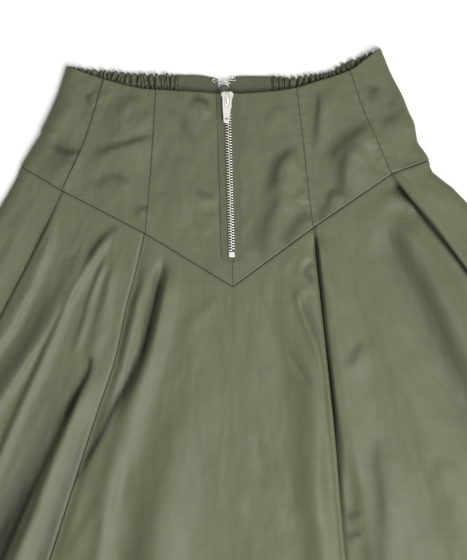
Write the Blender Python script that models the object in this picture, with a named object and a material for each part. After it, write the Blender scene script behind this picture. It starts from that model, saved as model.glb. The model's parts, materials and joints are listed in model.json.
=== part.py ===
# Corset skirt, laid flat on its back. A pointed corset yoke of six panels carries an exposed
# metal zip. Four pleats open below it into a wide flared skirt, the back waist is elasticated,
# and a concealed zip with a hook and eye closes the centre back.
#
# Tables are in millimetres in the garment's own frame: x to the right, y up towards the waist,
# with the origin at the top of the centre front. z is the height above the table.
import math

import bmesh
import bpy
import numpy as np

MM = 0.001

# Driving sizes
CLOTH = 1.4              # one layer of skirt cloth
YOKE_CLOTH = 1.8         # the yoke is two layers with turnings
SEAM_GAP = 0.3           # between pieces that a seam joins
LAYER_GAP = 0.5          # between layers that lie on each other
YOKE_MID = 8.0           # middle of the yoke's wall above the table
SIDE_FOLD_REACH = 22.0   # how far the rounding at a side seam runs in
BAND_DEPTH = 30.0        # elasticated back waistband, top to bottom
BACK_CENTRE_X = -3.0     # the centre-back seam lies a little left of the centre front
TURN_AT_SEAM = 1.5       # radius of a pleat's turned edge where the yoke seam holds it
UNDER_BASE = 5.5         # middle of the side-front panels below the yoke
UPPER_BASE = 8.0         # middle of the centre and side panels below the yoke

# Outlines, each row one point (x, y) from the top or the left
FRONT_WAIST = [(-152, 30), (-122, 18), (-84, 7), (-55, 4), (-12, 0), (0, -0.5),
               (8, -1), (38, 0), (65, 3), (91, 10), (117, 18), (132, 28), (147, 39)]
BACK_WAIST = [(-153, 31), (-136, 27), (-106, 23), (-77, 20), (-48, 19), (-26, 18), (-12, 15),
              (-3, 12), (6, 14), (13, 16), (43, 15), (61, 13), (78, 15), (99, 18), (111, 25),
              (131, 32), (148, 39)]
YOKE_SEAM = [(-198, -64), (-160, -88), (-82, -131), (0, -184), (78, -130), (154, -81), (190, -69)]
HEM = [(-576, -625), (-484, -665), (-388, -710), (-287, -740), (-190, -764), (-87, -776),
       (24, -779), (129, -772), (243, -751), (355, -712), (455, -666), (540, -621), (626, -593)]
LEFT_SIDE = [(-152, 30), (-160, 7), (-173, -23), (-182, -38), (-198, -64), (-218, -100),
             (-338, -284), (-462, -469), (-576, -625)]
RIGHT_SIDE = [(147, 39), (156, 15), (167, -8), (176, -33), (181, -52), (190, -69),
              (225, -111), (357, -256), (495, -429), (626, -593)]

# Seams of the yoke, from the waist down
YOKE_LINES = {
    "left_outer": [(-117, 17), (-137, -41), (-160, -88)],
    "left_inner": [(-68, 5), (-74, -62), (-82, -131)],
    "centre": [(0, -0.5), (0, -184)],
    "right_inner": [(66, 3), (70, -41), (75, -101), (78, -130)],
    "right_outer": [(117, 18), (128, -17), (140, -47), (154, -81)],
}

# Edges of the four pleats, from the yoke seam to the hem
PLEAT_EDGES = {
    "left_outer": [(-160, -88), (-185, -137), (-221, -202), (-306, -354), (-393, -509),
                   (-484, -665)],
    "left_inner": [(-82, -131), (-93, -173), (-102, -203), (-114, -252), (-135, -309), (-163, -388),
                   (-227, -570), (-287, -740)],
    "right_inner": [(78, -130), (80, -163), (83, -199), (90, -285), (94, -342), (100, -447),
                    (114, -609), (129, -772)],
    "right_outer": [(154, -81), (170, -103), (196, -135), (223, -173), (381, -398), (540, -621)],
}

# Each pleat: cloth folded under at the yoke and at the hem, and the radius of its turned edge
# (under_top, under_hem, radius_top, radius_middle, radius_hem)
PLEATS = {
    "left_outer": (14, 36, TURN_AT_SEAM, 1.6, 2.4),
    "left_inner": (10, 30, TURN_AT_SEAM, 1.8, 2.4),
    "right_inner": (15, 40, TURN_AT_SEAM, 3.0, 3.2),
    "right_outer": (14, 40, TURN_AT_SEAM, 1.8, 2.6),
}
SIDE_FRONTS = {
    "front_left": ("left_outer", "left_inner"),
    "front_right": ("right_inner", "right_outer"),
}

# The largest folds, which open out from the yoke towards the hem
# (height, width_left, width_right, fade_in, fade_out, route)
FOLDS = {
    "side_left": [
        (7, 12, 14, 0.4, 0, [(-190, -100), (-262, -240), (-372, -430), (-505, -645)]),
        (-3, 10, 10, 0.4, 0, [(-196, -140), (-300, -300), (-420, -480), (-545, -640)]),
    ],
    "front_left": [
        (7, 13, 10, 0.35, 0, [(-156, -148), (-195, -227), (-240, -320), (-335, -500), (-450, -680)]),
        (9, 12, 14, 0.3, 0, [(-118, -135), (-158, -210), (-206, -307), (-275, -440), (-400, -700)]),
        (13, 7, 15, 0.35, 0, [(-128, -236), (-148, -291), (-178, -352), (-205, -428), (-262, -550),
                              (-345, -720)]),
        (5, 12, 10, 0.4, 0.3, [(-101, -146), (-117, -205), (-129, -250), (-140, -300)]),
    ],
    "front_centre": [
        (-6, 9, 10, 0.25, 0.3, [(-66, -160), (-80, -212), (-97, -259), (-117, -300), (-139, -338),
                                (-158, -380)]),
        (9, 13, 20, 0.35, 0, [(-52, -170), (-77, -245), (-103, -319), (-126, -389), (-175, -540),
                              (-245, -745)]),
        (-5, 17, 16, 0.35, 0, [(-25, -215), (-73, -302), (-98, -360), (-115, -437), (-150, -560),
                               (-200, -760)]),
        (12, 20, 24, 0.3, 0, [(-8, -215), (-37, -285), (-59, -355), (-76, -432), (-100, -560),
                              (-135, -770)]),
        (-4, 14, 15, 0.5, 0.5, [(20, -175), (36, -225), (47, -275), (45, -350)]),
        (4, 30, 30, 0.4, 0, [(30, -330), (24, -450), (15, -600), (5, -775)]),
        (9, 16, 9, 0.3, 0, [(62, -175), (76, -240), (81, -312), (86, -419), (98, -600), (110, -770)]),
    ],
    "front_right": [
        (11, 20, 20, 0.25, 0, [(104, -135), (122, -190), (150, -260), (196, -350), (270, -520),
                               (350, -712)]),
        (-4, 16, 14, 0.25, 0, [(140, -110), (170, -175), (208, -262), (260, -370), (330, -520),
                               (410, -690)]),
        (9, 16, 14, 0.3, 0, [(166, -108), (204, -175), (240, -245), (320, -390), (470, -650)]),
        (8, 7, 16, 0.3, 0, [(148, -345), (152, -400), (160, -480), (190, -600), (225, -755)]),
    ],
    "side_right": [
        (8, 13, 16, 0.4, 0, [(196, -100), (262, -172), (400, -350), (585, -610)]),
        (-3, 12, 12, 0.5, 0, [(215, -112), (300, -215), (440, -380), (605, -600)]),
    ],
    "yoke": [
        (-1.6, 9, 8, 0.3, 0.3, [(62, -50), (46, -80), (38, -115), (27, -158)]),
        (-1.0, 5, 6, 0.4, 0.4, [(87, 6), (84, -30), (82, -72)]),
        (-1.2, 8, 8, 0.4, 0.3, [(130, -42), (112, -66), (96, -86), (88, -112)]),
        (-1.2, 7, 7, 0.4, 0.4, [(-132, -57), (-110, -51), (-84, -43)]),
    ],
}

# Elasticated stretches of the back waistband: (name, outer_x, inner_x, ruffles)
ELASTIC = [
    ("back_elastic_left", -151, -47.3, 17),
    ("back_elastic_right", 146, 43.3, 17),
]
RUFFLE_HEIGHT = 1.6
BAND_HEIGHT = 3.4
BAND_ROWS = (0.0, 0.3, 0.6, 1.0)
STITCHED_ROW = 0.6       # the elastic is stitched down here, so the ruffles are lower
STITCHED_SHARE = 0.4
TUCKED_SHARE = 0.55      # height of the casing's lower edge, beneath the front

# Flat ends of the waistband beside the opening: (name, outer_x, inner_x)
PLAIN_ENDS = [
    ("back_band_left", -47, -8.6),
    ("back_band_right", 43, 2.6),
]
PLAIN_END_TOP = 3.0
PLAIN_END_ROWS = (0.0, 0.12, 0.5, 1.0)
PLAIN_END_COLUMNS = (0.0, 0.35, 0.7, 0.9, 1.0)

# Exposed front zip
ZIP_TOP = -1.0
ZIP_END = -162.0
STOP_TOP = -151.0
STOP_END = -156.5
TAPE_HALF_WIDTH = 9.7
TAPE_CORNER = 6.0
TAPE = 1.0
CHAIN_HALF_WIDTH = 3.1
CHAIN = 2.4
STOP_PROUD = 0.2
SLIDER_TOP = 0.8
SLIDER_LENGTH = 16.5
SLIDER_PLATE = 2.0

# Pull tab, measured from its pivot
PIVOT_Y = -2.6
TAB_LENGTH = 27.0
TAB_THICK = 1.2
TAB_LEAN = math.radians(3.5)
BRIDGE_HALF_WIDTH = 1.2
BRIDGE_CLEAR = 2.0
# Windows in the tab: (name, half_width, near, far)
TAB_WINDOWS = [
    ("slot", 2.25, 0.6, 12.0),
    ("hole", 1.4, 21.8, 23.5),
]

# Closure at the centre back
BACK_TAPE = [(-8.0, 5), (2.0, 5), (2.0, -19), (9, -21), (9, -176), (-15, -176), (-15, -21),
             (-8.0, -19)]
BACK_TAPE_THICK = 0.9
BACK_SLIDER_HALF_WIDTH = 4.6
BACK_SLIDER_CROWN_Y = 3.6
BACK_SLIDER_FOOT = [(4.0, -3.0), (3.0, -9.0), (-3.0, -9.0), (-4.0, -3.0)]
BACK_SLIDER_THICK = 3.2
WIRE_RADIUS = 0.5
SEWING_LOOP_RADIUS = 1.5
# Wires beyond their sewing loops: (x, y, rise above the loops)
HOOK_ROUTE = [(-9.5, 11.6, 0), (-5.0, 11.2, 1.9), (-0.6, 11.0, 1.9), (0.3, 11.0, 1.3),
              (-0.4, 11.0, 0.6)]
EYE_ROUTE = [(3.6, 12.2, 0), (-1.9, 12.6, 0), (-2.6, 11.2, 0), (-1.9, 9.6, 0), (3.6, 9.4, 0)]

# Colours and surfaces: (colour, metallic, roughness)
SURFACES = {
    "satin": ((0.16, 0.18, 0.12, 1), 0.0, 0.45),
    "tape": ((0.14, 0.16, 0.11, 1), 0.0, 0.75),
    "nickel": ((0.78, 0.77, 0.74, 1), 1.0, 0.25),
    "painted": ((0.17, 0.18, 0.14, 1), 0.3, 0.45),
}


def clear_scene():
    """Removes every object that the file opened with."""
    for thing in list(bpy.data.objects):
        bpy.data.objects.remove(thing, do_unlink=True)


def surface(name):
    """Gives the Principled material of that name, made once."""
    found = bpy.data.materials.get(name)
    if found:
        return found
    colour, metallic, roughness = SURFACES[name]
    made = bpy.data.materials.new(name)
    made.use_nodes = True
    shader = made.node_tree.nodes["Principled BSDF"]
    shader.inputs["Base Color"].default_value = colour
    shader.inputs["Metallic"].default_value = metallic
    shader.inputs["Roughness"].default_value = roughness
    return made


def smooth_route(points, steps=10):
    """Samples a Catmull-Rom curve through the points."""
    p = np.array(points, float)
    p = np.vstack([2 * p[0] - p[1], p, 2 * p[-1] - p[-2]])
    samples = []
    for i in range(1, len(p) - 2):
        for t in np.arange(steps) / steps:
            samples.append(0.5 * (2 * p[i] + (p[i + 1] - p[i - 1]) * t
                                  + (2 * p[i - 1] - 5 * p[i] + 4 * p[i + 1] - p[i + 2]) * t ** 2
                                  + (3 * p[i] - p[i - 1] - 3 * p[i + 1] + p[i + 2]) * t ** 3))
    samples.append(p[-2])
    return np.array(samples)


def height_of_line(points, smooth=True):
    """Turns a line that runs left to right into a function y(x)."""
    line = smooth_route(points) if smooth else np.array(points, float)
    return lambda x: np.interp(x, line[:, 0], line[:, 1])


def place_of_line(points):
    """Turns a line that runs down the garment into a function x(y)."""
    line = smooth_route(points)[::-1]
    return lambda y: np.interp(y, line[:, 1], line[:, 0])


front_waist = height_of_line(FRONT_WAIST)
back_waist = height_of_line(BACK_WAIST)
yoke_seam = height_of_line(YOKE_SEAM, smooth=False)
hem = height_of_line(HEM)
left_side = place_of_line(LEFT_SIDE)
right_side = place_of_line(RIGHT_SIDE)
yoke_line = {name: place_of_line(line) for name, line in YOKE_LINES.items()}
pleat_edge = {name: place_of_line(line) for name, line in PLEAT_EDGES.items()}


def ease(low, high, value):
    """Runs smoothly from 0 at low to 1 at high."""
    t = np.clip((np.asarray(value, float) - low) / (high - low), 0, 1)
    return t * t * (3 - 2 * t)


def fold_height(row, x, y):
    """Height that one fold adds at the points (x, y)."""
    height, width_left, width_right, fade_in, fade_out, points = row
    route = smooth_route(points, 5)
    start, step = route[:-1], np.diff(route, axis=0)
    length = np.hypot(step[:, 0], step[:, 1])
    travelled = np.concatenate([[0], np.cumsum(length)])
    dx = x[..., None] - start[:, 0]
    dy = y[..., None] - start[:, 1]
    along = np.clip((dx * step[:, 0] + dy * step[:, 1]) / length ** 2, 0, 1)
    away_x = dx - along * step[:, 0]
    away_y = dy - along * step[:, 1]
    distance = np.hypot(away_x, away_y)
    nearest = np.argmin(distance, axis=-1)[..., None]
    pick = lambda values: np.take_along_axis(values, nearest, -1)[..., 0]
    part = pick((travelled[:-1] + along * length) / travelled[-1])
    away = pick(distance) * np.sign(pick(away_x))
    width = np.where(away < 0, width_left, width_right)
    spread = 0.8 + 0.6 * part
    strength = ease(0, fade_in, part) if fade_in else 1.0
    if fade_out:
        strength = strength * ease(0, fade_out, 1 - part)
    return height * strength * np.exp(-(away / (width * spread)) ** 2)


def folds(panel, x, y):
    """Height of all folds of a panel at the points (x, y)."""
    return sum(fold_height(row, x, y) for row in FOLDS[panel])


FLOOR_CLEAR = CLOTH + SEAM_GAP + CLOTH / 2     # lowest middle of a front layer above the back
STACK = CLOTH + LAYER_GAP                      # middle to middle of two layers that touch
SEAM_LOW = YOKE_MID - STACK - 2 * TURN_AT_SEAM # middle of the layer under a pleat, at the yoke
SIDE_SEAM_MID = CLOTH + SEAM_GAP               # where a front side edge ends, above the back


def under_height(panel, x, y):
    """Middle of the side-front cloth, which the pleats on both its sides lie upon."""
    outer, inner = SIDE_FRONTS[panel]
    below_seam = yoke_seam(x) - y
    free = YOKE_MID + (UNDER_BASE - YOKE_MID) * ease(0, 110, below_seam)
    free = free + folds(panel, x, y) * ease(0, 60, below_seam)
    inside = np.minimum(x - pleat_edge[outer](y), pleat_edge[inner](y) - x)
    tucked = 1 - ease(-2, 22, inside)
    held = tucked * (1 - ease(20, 160, below_seam))
    height = free + (SEAM_LOW - free) * held
    # under a pleat the fold above presses the cloth down
    pressed = tucked * ease(20, 160, below_seam)
    height = height + (np.minimum(height, UNDER_BASE) - height) * pressed
    return np.maximum(height, FLOOR_CLEAR)


def pleat_value(name, s):
    """Depth folded under and radius of the turned edge of a pleat, s from 0 at the yoke to 1."""
    under_top, under_hem, top, middle, bottom = PLEATS[name]
    depth = under_top + (under_hem - under_top) * s ** 1.3
    radius = np.interp(s, [0, 0.12, 0.45, 1], [top, top, middle, bottom])
    return depth, radius


def upper_free(panel, x, y):
    """Middle of an upper panel away from its edges."""
    below_seam = yoke_seam(x) - y
    base = YOKE_MID + (UPPER_BASE - YOKE_MID) * ease(0, 120, below_seam)
    return base, folds(panel, x, y) * ease(0, 50, below_seam)


def yoke_height(x, y):
    """Middle of the yoke's wall, before its sides round down."""
    return YOKE_MID + folds("yoke", x, y)


def make_patch(x_left, x_right, y_top, y_bottom, guesses, insets=(0, 0, 0, 0), middle=None):
    """Makes the point function of a panel that lies between two side lines and two cross lines.

    x_left and x_right give x at a height y, and y_top and y_bottom give y at a place x. guesses
    holds a y near the top corners and one near the bottom corners, and insets moves the left,
    right, top and bottom edge inwards. A middle is the x that both cross lines have halfway."""
    in_left, in_right, in_top, in_bottom = insets

    def corner(x_of, y_of, y, inset):
        for _ in range(40):
            y = float(y_of(x_of(y)))
        return np.array([float(x_of(y)) + inset, y])

    def down(x_of, start, end, inset):
        def at(v):
            y = start[1] + (end[1] - start[1]) * v
            return np.array([float(x_of(y)) + inset, y])
        return at

    def cross(y_of, start, end, inset):
        def at(u):
            if middle is None:
                x = start[0] + (end[0] - start[0]) * u
            elif u < 0.5:
                x = start[0] + (middle - start[0]) * u * 2
            else:
                x = middle + (end[0] - middle) * (u * 2 - 1)
            return np.array([x, float(y_of(x)) + inset])
        return at

    top_left = corner(x_left, y_top, guesses[0], in_left)
    top_right = corner(x_right, y_top, guesses[0], -in_right)
    low_left = corner(x_left, y_bottom, guesses[1], in_left)
    low_right = corner(x_right, y_bottom, guesses[1], -in_right)
    left = down(x_left, top_left, low_left, in_left)
    right = down(x_right, top_right, low_right, -in_right)
    top = cross(y_top, top_left, top_right, -in_top)
    bottom = cross(y_bottom, low_left, low_right, in_bottom)

    def at(u, v):
        a, b, c, d = top(0), top(1), bottom(0), bottom(1)
        mixed = (1 - u) * (1 - v) * a + u * (1 - v) * b + (1 - u) * v * c + u * v * d
        left_edge = left(v) + (1 - v) * (a - left(0)) + v * (c - left(1))
        right_edge = right(v) + (1 - v) * (b - right(0)) + v * (d - right(1))
        return ((1 - u) * left_edge + u * right_edge + (1 - v) * top(u) + v * bottom(u) - mixed)
    return at


def across(patch, v, distance, from_right=False):
    """Point of a patch that lies a distance in millimetres in from one side edge."""
    width = np.linalg.norm(patch(1, v) - patch(0, v))
    u = distance / width
    return patch(1 - u if from_right else u, v)


def wall(name, middles, outward, thickness, look):
    """Builds a closed wall of cloth round a grid of middle points.

    middles holds rows of points, and outward the unit direction of the wall's outer face at
    each. Both are in millimetres."""
    rows, columns = middles.shape[:2]
    half = outward * thickness / 2
    points = np.concatenate([(middles + half).reshape(-1, 3), (middles - half).reshape(-1, 3)]) * MM
    mesh = bpy.data.meshes.new(name)
    work = bmesh.new()
    corners = [work.verts.new(p) for p in points]
    outer = lambda r, c: corners[r * columns + c]
    inner = lambda r, c: corners[rows * columns + r * columns + c]
    for r in range(rows - 1):
        for c in range(columns - 1):
            work.faces.new((outer(r, c), outer(r, c + 1), outer(r + 1, c + 1), outer(r + 1, c)))
            work.faces.new((inner(r, c), inner(r + 1, c), inner(r + 1, c + 1), inner(r, c + 1)))
        for c in (0, columns - 1):
            work.faces.new((outer(r, c), outer(r + 1, c), inner(r + 1, c), inner(r, c)))
    for c in range(columns - 1):
        for r in (0, rows - 1):
            work.faces.new((outer(r, c), outer(r, c + 1), inner(r, c + 1), inner(r, c)))
    bmesh.ops.recalc_face_normals(work, faces=work.faces)
    work.to_mesh(mesh)
    work.free()
    return place(name, mesh, look)


def place(name, mesh, look):
    """Adds a mesh to the scene as a named object with its material."""
    mesh.shade_smooth()
    mesh.set_sharp_from_angle(angle=math.radians(40))
    thing = bpy.data.objects.new(name, mesh)
    mesh.materials.append(surface(look))
    bpy.context.scene.collection.objects.link(thing)
    return thing


UP = np.array([0.0, 0.0, 1.0])
TURN_ANGLES = (-90, -45, 0, 45, 90)
SIDE_ANGLES = (0, 24, 46, 68)
NEAR_EDGE = ((7, 0.12), (14, 0.22), (25, 0.34))


class Row:
    """One cross-section of a panel: its middle points and the way its outer face looks."""

    def __init__(self):
        self.points = []
        self.outward = []

    def add(self, place_xy, z, direction=UP):
        """Adds a middle point and the way that the outer face looks there."""
        self.points.append(np.array([place_xy[0], place_xy[1], z]))
        self.outward.append(direction / np.linalg.norm(direction))


def side_edge(row, patch, v, height, from_right):
    """Rounds a panel down to its side seam, from the seam inwards."""
    inner_way = across(patch, v, 10, from_right) - across(patch, v, 0, from_right)
    inner_way = inner_way / np.linalg.norm(inner_way)
    width = np.linalg.norm(patch(1, v) - patch(0, v))
    reach = min(SIDE_FOLD_REACH, 0.55 * width)
    for angle in SIDE_ANGLES:
        a = math.radians(angle)
        spot = across(patch, v, reach * (1 - math.cos(a)), from_right)
        top = float(height(spot))
        rise = top - SIDE_SEAM_MID
        way = np.array([-inner_way[0] * math.cos(a) / reach, -inner_way[1] * math.cos(a) / reach,
                        math.sin(a) / rise])
        row.add(spot, SIDE_SEAM_MID + rise * math.sin(a), way)
    return reach


def pleat_turn(row, patch, v, under_panel, pleat, from_right):
    """Adds the cloth folded under and the turned edge, from the hidden end outwards."""
    depth, radius = pleat_value(pleat, v)
    out = across(patch, v, 0, from_right) - across(patch, v, 10, from_right)
    out = out / np.linalg.norm(out)
    for distance in (depth, depth / 2):
        spot = across(patch, v, distance, from_right)
        row.add(spot, height_under(under_panel, spot) + STACK, -UP)
    base = height_under(under_panel, across(patch, v, radius, from_right)) + STACK + radius
    for angle in TURN_ANGLES:
        a = math.radians(angle)
        spot = across(patch, v, radius * (1 - math.cos(a)), from_right)
        way = np.array([out[0] * math.cos(a), out[1] * math.cos(a), math.sin(a)])
        row.add(spot, base + radius * math.sin(a), way)


def reverse(row):
    """Turns a cross-section round."""
    row.points.reverse()
    row.outward.reverse()


def joined(rows):
    """Gives the point and direction grids of a list of cross-sections."""
    return np.array([r.points for r in rows]), np.array([r.outward for r in rows])


def upper_height(panel, spot, v, edges):
    """Middle of an upper panel at a spot, with its pleat edges lying on the cloth below.

    edges holds, for each pleat: its name, the panel it lies on and the distance in from it."""
    x, y = np.array([spot[0]]), np.array([spot[1]])
    base, lift = upper_free(panel, x, y)
    z = base[0] + lift[0]
    for pleat, under_panel, inward in edges:
        depth, radius = pleat_value(pleat, v)
        laid = under_height(under_panel, x, y)[0] + STACK + 2 * radius
        near = 1 - float(ease(depth + 3, depth + 16, inward))
        rolled = max(lift[0], 0) * float(ease(2, 15, inward)) * float(ease(0.02, 0.15, v))
        z = z + (laid + rolled - z) * near
    return max(z, FLOOR_CLEAR)


def stations(count):
    """Places of the cross-sections down a panel, closer together near the yoke."""
    return (np.arange(count) / (count - 1)) ** 1.15


ROWS = 17


SKIRT_PANELS = {
    "side_left": ("left", "left_outer"),
    "front_left": ("left_outer", "left_inner"),
    "front_centre": ("left_inner", "right_inner"),
    "front_right": ("right_inner", "right_outer"),
    "side_right": ("right_outer", "right"),
}


def skirt_patches():
    """Point functions of the five front panels, from the yoke seam to the hem."""
    lines = {"left": left_side, "right": right_side, **pleat_edge}
    patches = {}
    for panel, (left, right) in SKIRT_PANELS.items():
        middle = 0.0 if panel == "front_centre" else None
        patches[panel] = make_patch(lines[left], lines[right], yoke_seam, hem, (-100, -700),
                                    (0, 0, SEAM_GAP / 2, 0), middle)
    return patches


def height_under(panel, spot):
    """Middle of the side-front cloth at one spot."""
    return float(under_height(panel, np.array([spot[0]]), np.array([spot[1]]))[0])


def near_edge_distances(width):
    """Distances in from a pleat's edge, less in a narrow cross-section."""
    return [min(distance, share * width) for distance, share in NEAR_EDGE]


def build_centre(patches):
    """The centre front panel, whose two edges are folded under."""
    patch = patches["front_centre"]
    rows = []
    for v in stations(ROWS):
        width = np.linalg.norm(patch(1, v) - patch(0, v))

        def height(spot, inward_left):
            edges = [("left_inner", "front_left", inward_left),
                     ("right_inner", "front_right", width - inward_left)]
            return upper_height("front_centre", spot, v, edges)

        row = Row()
        pleat_turn(row, patch, v, "front_left", "left_inner", False)
        near = near_edge_distances(width)
        inner = np.linspace(near[-1] / width, 1 - near[-1] / width, 13)[1:-1]
        places = [d / width for d in near] + list(inner) + [1 - d / width for d in reversed(near)]
        for u in places:
            spot = patch(u, v)
            row.add(spot, height(spot, u * width))
        tail = Row()
        pleat_turn(tail, patch, v, "front_right", "right_inner", True)
        reverse(tail)
        row.points += tail.points
        row.outward += tail.outward
        rows.append(row)
    middles, outward = joined(rows)
    wall("front_centre_panel", middles, outward, CLOTH, "satin")


def build_side(patches, panel, pleat, under_panel, seam_on_right):
    """A side panel: a rounded side seam on one edge and a pleat folded under on the other."""
    patch = patches[panel]
    rows = []
    for v in stations(ROWS):
        width = np.linalg.norm(patch(1, v) - patch(0, v))

        def height(spot, from_pleat):
            return upper_height(panel, spot, v, [(pleat, under_panel, from_pleat)])

        def seam_height(spot):
            fold_side = patch(0, v) if seam_on_right else patch(1, v)
            return height(spot, np.linalg.norm(spot - fold_side))

        row = Row()
        reach = side_edge(row, patch, v, seam_height, seam_on_right)
        near = near_edge_distances(width)
        for distance in np.linspace(reach, width - near[-1], 7)[:-1]:
            spot = across(patch, v, distance, seam_on_right)
            row.add(spot, height(spot, width - distance))
        for distance in reversed(near):
            spot = across(patch, v, width - distance, seam_on_right)
            row.add(spot, height(spot, distance))
        tail = Row()
        pleat_turn(tail, patch, v, under_panel, pleat, not seam_on_right)
        reverse(tail)
        row.points += tail.points
        row.outward += tail.outward
        rows.append(row)
    middles, outward = joined(rows)
    wall(panel.replace("side", "front_side") + "_panel", middles, outward, CLOTH, "satin")


def build_under(patches, panel, left_pleat, left_panel, right_pleat, right_panel):
    """A side-front panel, whose margins run on beneath the pleats at both its sides."""
    patch = patches[panel]
    left_patch, right_patch = patches[left_panel], patches[right_panel]
    rows = []
    for v in stations(ROWS):
        row = Row()

        def add(spot):
            row.add(spot, height_under(panel, spot))

        left_depth = pleat_value(left_pleat, v)[0]
        right_depth = pleat_value(right_pleat, v)[0]
        for distance in (left_depth + 1, left_depth / 2):
            add(across(left_patch, v, distance, True))
        for u in np.linspace(0, 1, 12):
            add(patch(u, v))
        for distance in (right_depth / 2, right_depth + 1):
            add(across(right_patch, v, distance, False))
        rows.append(row)
    middles, outward = joined(rows)
    wall(panel.replace("front", "front_under") + "_panel", middles, outward, CLOTH, "satin")


YOKE_PANELS = [
    ("yoke_side_left", "side", "left_outer"),
    ("yoke_princess_left", "left_outer", "left_inner"),
    ("yoke_centre_left", "left_inner", "centre"),
    ("yoke_centre_right", "centre", "right_inner"),
    ("yoke_princess_right", "right_inner", "right_outer"),
    ("yoke_side_right", "right_outer", "side"),
]
YOKE_ROWS = 9
YOKE_COLUMNS = 7


def build_yoke_panel(name, left_line, right_line):
    """One panel of the corset yoke, between two seams or a seam and the side."""
    gap = SEAM_GAP / 2
    left = left_side if left_line == "side" else yoke_line[left_line]
    right = right_side if right_line == "side" else yoke_line[right_line]
    insets = (0 if left_line == "side" else gap, 0 if right_line == "side" else gap, 0, gap)
    patch = make_patch(left, right, front_waist, yoke_seam, (0, -100), insets)

    def height(spot):
        return float(yoke_height(np.array([spot[0]]), np.array([spot[1]]))[0])

    rows = []
    for v in np.linspace(0, 1, YOKE_ROWS):
        row = Row()
        if "side" in (left_line, right_line):
            from_right = right_line == "side"
            width = np.linalg.norm(patch(1, v) - patch(0, v))
            reach = side_edge(row, patch, v, height, from_right)
            for distance in np.linspace(reach, width, 5):
                spot = across(patch, v, distance, from_right)
                row.add(spot, height(spot))
        else:
            for u in np.linspace(0, 1, YOKE_COLUMNS):
                spot = patch(u, v)
                row.add(spot, height(spot))
        rows.append(row)
    middles, outward = joined(rows)
    wall(name, middles, outward, YOKE_CLOTH, "satin")


def slab(name, rows_xy, tops, look):
    """A closed piece with its underside on the table and a shaped top over a grid of places."""
    tops = np.array(tops, float)
    middles = np.dstack([np.array(rows_xy, float), tops / 2])
    outward = np.zeros_like(middles)
    outward[..., 2] = tops
    return wall(name, middles, outward, 1.0, look)


BACK_ROWS = 12
BACK_COLUMNS = 21


def build_back():
    """The two back panels, lying flat on the table from the waistband to the hem."""
    gap = SEAM_GAP / 2
    centre = lambda y: BACK_CENTRE_X
    band_end = lambda x: back_waist(x) - BAND_DEPTH
    reach_out = CLOTH / 2
    panels = (("back_panel_left", left_side, centre, -reach_out, gap),
              ("back_panel_right", centre, right_side, gap, -reach_out))
    for name, left, right, inset_left, inset_right in panels:
        insets = (inset_left, inset_right, 2 * SEAM_GAP, 0)
        patch = make_patch(left, right, band_end, hem, (0, -700), insets)
        lines = np.linspace(0, 1, BACK_ROWS) ** 1.5
        grid = [[patch(u, v) for u in np.linspace(0, 1, BACK_COLUMNS)] for v in lines]
        slab(name, grid, np.full((BACK_ROWS, BACK_COLUMNS), CLOTH), "satin")


def build_elastic(name, outer_x, inner_x, ruffles):
    """A gathered stretch of the back waistband, drawn up into ruffles by the elastic inside."""
    steps = ruffles * 4
    side = left_side if outer_x < 0 else right_side
    grid, tops = [], []
    for v in BAND_ROWS:
        line, high = [], []
        squeeze = STITCHED_SHARE if v == STITCHED_ROW else 1.0
        lower = TUCKED_SHARE if v == BAND_ROWS[-1] else 1.0
        start = float(side(back_waist(outer_x) - BAND_DEPTH * v))
        start += math.copysign(CLOTH / 2, outer_x)
        for t in np.arange(steps + 1) / steps:
            wave = math.cos(2 * math.pi * ruffles * t + 1.3 * math.sin(9 * t))
            x = start + (inner_x - start) * t
            y = float(back_waist(x)) - BAND_DEPTH * v
            if v == 0:
                y += 1.1 * wave * min(1, 6 * t)
            taper = float(ease(0, 0.13, t)) * lower
            line.append((x, y))
            high.append(CLOTH + (BAND_HEIGHT - CLOTH + RUFFLE_HEIGHT * wave * squeeze) * taper)
        grid.append(line)
        tops.append(high)
    slab(name, grid, tops, "satin")


def build_plain_ends():
    """The two flat ends of the waistband beside the centre-back opening."""
    for name, outer_x, inner_x in PLAIN_ENDS:
        grid = []
        for v in PLAIN_END_ROWS:
            places = [outer_x + (inner_x - outer_x) * t for t in PLAIN_END_COLUMNS]
            grid.append([(x, float(back_waist(x)) - BAND_DEPTH * v) for x in places])
        tops = np.full((len(PLAIN_END_ROWS), len(PLAIN_END_COLUMNS)), PLAIN_END_TOP)
        slab(name, grid, tops, "satin")


def extruded(work, points, axis, end):
    """Adds a face through the points and runs it out to an end along an axis, in millimetres."""
    face = work.faces.new([work.verts.new([value * MM for value in p]) for p in points])
    for item in bmesh.ops.extrude_face_region(work, geom=[face])["geom"]:
        if isinstance(item, bmesh.types.BMVert):
            item.co[axis] = end * MM
    bmesh.ops.recalc_face_normals(work, faces=work.faces)


def run_out(name, points, axis, end):
    """The mesh of a shape that is the same all along one axis."""
    mesh = bpy.data.meshes.new(name)
    work = bmesh.new()
    extruded(work, points, axis, end)
    work.to_mesh(mesh)
    work.free()
    return mesh


def guide_object(name, mesh):
    """An object that only shapes another one."""
    guide = bpy.data.objects.new(name, mesh)
    bpy.context.scene.collection.objects.link(guide)
    guide.hide_render = True
    guide.display_type = "WIRE"
    return guide


def shaped_by(thing, guide, operation):
    """Joins a guide to a piece or cuts it out."""
    step = thing.modifiers.new(guide.name, "BOOLEAN")
    step.operation = operation
    step.solver = "EXACT"
    step.object = guide


def prism(name, outline, bottom, top, look):
    """A flat piece of the given outline between two heights."""
    return place(name, run_out(name, [(x, y, bottom) for x, y in outline], 2, top), look)


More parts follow.
